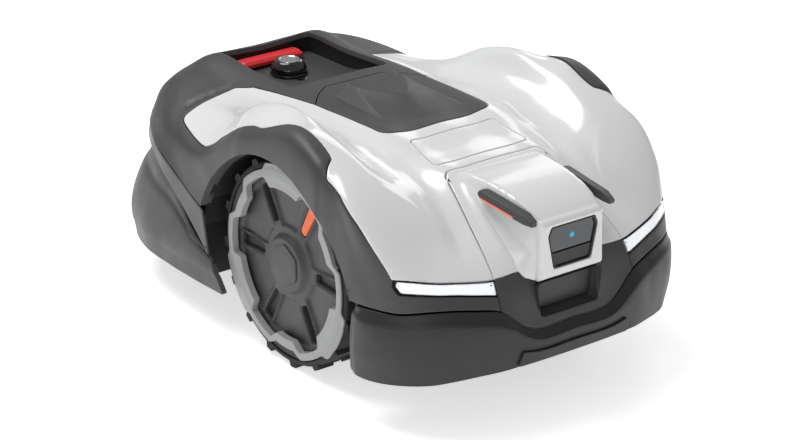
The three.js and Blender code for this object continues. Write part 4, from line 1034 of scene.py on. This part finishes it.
def trim_edge(inner):
    """The inner or the outer edge of the trim ring."""
    angle = np.arange(0, 360, 1.5)
    dip, pad = nearness(angle, DIPS, DIP_HALF, DIP_RAMP), nearness(angle, PADS, PAD_HALF, PAD_RAMP)
    if inner:
        r = TRIM_IN - TRIM_STEP * np.maximum(dip, pad)
    else:
        r = TRIM_OUT - DIP_DEPTH * dip + PAD_REACH * pad
    return polar(r, np.radians(angle))


def trim_relief(s, a, p):
    """The pads lie a step below the band that runs across them."""
    r, angle = radius_and_degrees(p)
    pad = nearness(angle, PADS, PAD_HALF + 3, 2)
    return -1.1 * pad * np.maximum(1 - ramp(r, 112, 114), ramp(r, 127, 128.5)) - 0.5 * ramp(r, 118, 126)


def trim_flange(p):
    """Shallow over the tyre, and down to the hub cover at the inner edge."""
    return np.where(np.hypot(p[:, 0], p[:, 1]) > 119, 2.4, 9.2)


SLOT_IN, SLOT_OUT, SLOT_NARROW, SLOT_WIDE = 57, 108, 6.5, 9
SLOT = [(SLOT_IN, -SLOT_NARROW, 4), (SLOT_OUT, -SLOT_WIDE, 5), (SLOT_OUT, SLOT_WIDE, 5),
        (SLOT_IN, SLOT_NARROW, 4)]


def slot_loop(k, by=0.0):
    t = 2 * math.pi * k / SPOKES
    turn_by = np.array([[math.cos(t), math.sin(t)], [-math.sin(t), math.cos(t)]])
    grown = [(a + (by if a == SLOT_OUT else -by), b + by * np.sign(b), r) for a, b, r in SLOT]
    return resampled(rounded(grown), 60) @ turn_by


def hub_relief(s, a, p):
    """A bevelled rib round each slot with sunk fields between them, and the boss in the middle."""
    r, angle = radius_and_degrees(p)
    off = np.radians(np.abs((angle + 30) % 60 - 30)) * r
    half = SLOT_NARROW + (SLOT_WIDE - SLOT_NARROW) * (r - SLOT_IN) / (SLOT_OUT - SLOT_IN)
    field = -3.8 * ramp(off - half, 3.6, 5.6) * ramp(r, 49, 53) * (1 - ramp(r, 108, 111))
    bevel = -1.2 * (1 - ramp(off - half, 0.2, 2.6)) * ramp(r, 52, 56)
    return field + bevel + 7.0 * (1 - ramp(r, 34.5, 41))


SEAT_R, LUG_ROOT, LUG_TOP = 127.4, 131.5, 140.6


def make_tyre():
    tread = [(SEAT_R, -HALF_W), (131, -HALF_W), (134, -26.4), (135.4, -23), (135.6, SIDEWALL - 5),
             (134, SIDEWALL - 1.6), (131, SIDEWALL), (SEAT_R, SIDEWALL)]
    tyre = turned(tread, 128, closed=True)
    block = [(LUG_ROOT, -8.5), (LUG_TOP, -5.6), (LUG_TOP, 5.6), (LUG_ROOT, 8.5)]
    for k in range(2 * LUGS):
        z0, z1 = (1, SIDEWALL - 0.6) if k % 2 else (1.2 - HALF_W, -1)
        lug = loft([[(x, y, z) for x, y in block] for z in (z0, z1)])
        tyre.add(lug.moved(Matrix.Rotation(2 * math.pi * (k + 0.5) / (2 * LUGS), 4, "Z")))
    pair(tyre.moved(WHEEL), "tyre", "tyre_rubber", bevel=0.8)


def make_wheel_face():
    """The trim ring, the slotted hub cover with its dark floor, the cap and the one insert."""
    lifted = lambda z: WHEEL @ Matrix.Translation((0, 0, z))
    trim = panel(disc_net(trim_relief), [disc_loop(trim_edge(False)), disc_loop(trim_edge(True))],
                 step=2.2, gap=0.0, flange=trim_flange, edge=0.9)
    pair(trim.moved(lifted(HALF_W + 1)), "wheel_trim", "grey_trim")

    loops = [disc_loop(circle(COVER_R, 180))] + [disc_loop(slot_loop(k)) for k in range(SPOKES)]
    cover = panel(disc_net(hub_relief), loops, step=2.0, gap=0.0, flange=6.6, edge=0.9, shell=2.4)
    floor = panel(disc_net(), [disc_loop(circle(116, 90))], step=9, gap=0.0, flange=0.5, edge=0.3, shell=0.5)
    cover.add(floor.moved(Matrix.Translation((0, 0, -6.9))), slot=1)
    pair(cover.moved(lifted(COVER_Z)), "hub_cover", "dark_shell", "black_plastic")

    corners = np.radians(np.arange(30, 390, 60))
    hexagon = rounded([(CAP_R * math.cos(t), CAP_R * math.sin(t), 10) for t in corners])
    crown = lambda s, a, p: -0.8 * ramp(np.hypot(p[:, 0], p[:, 1]), 14, CAP_R)
    cap = panel(disc_net(crown), [disc_loop(resampled(hexagon, 90))], step=3, gap=0.0,
                flange=2.2, edge=1.0, shell=1.4)
    pair(cap.moved(lifted(COVER_Z + 9.6)), "hub_cap", "dark_shell")

    insert = panel(disc_net(), [disc_loop(slot_loop(INSERT_SLOT, -0.9))], step=3, gap=0.0, flange=3, edge=1.0)
    pair(insert.moved(lifted(COVER_Z - 1.4)), "slot_insert", "orange_insert")


# ---- the CAD nodes that stay
def finish_cad_nodes():
    """Each CAD node that still shows takes the procedural finish of its slot."""
    for part in frame["record"]["subparts"]:
        node = frame["nodes"][part["node"]]
        node.data.materials.clear()
        node.data.materials.append(material(part["material_slot"]))
        smooth(node.data, 32)


make_camera()
make_studio()
finish_cad_nodes()
make_upper_shell()
make_nose_cover()
make_hatch()
make_frame()
make_camera_window()
make_fins()
make_headlights()
make_grip_panel()
make_contacts()
make_bumper()
make_rear()
make_deck()
make_button()
make_dial()
make_tyre()
make_wheel_face()
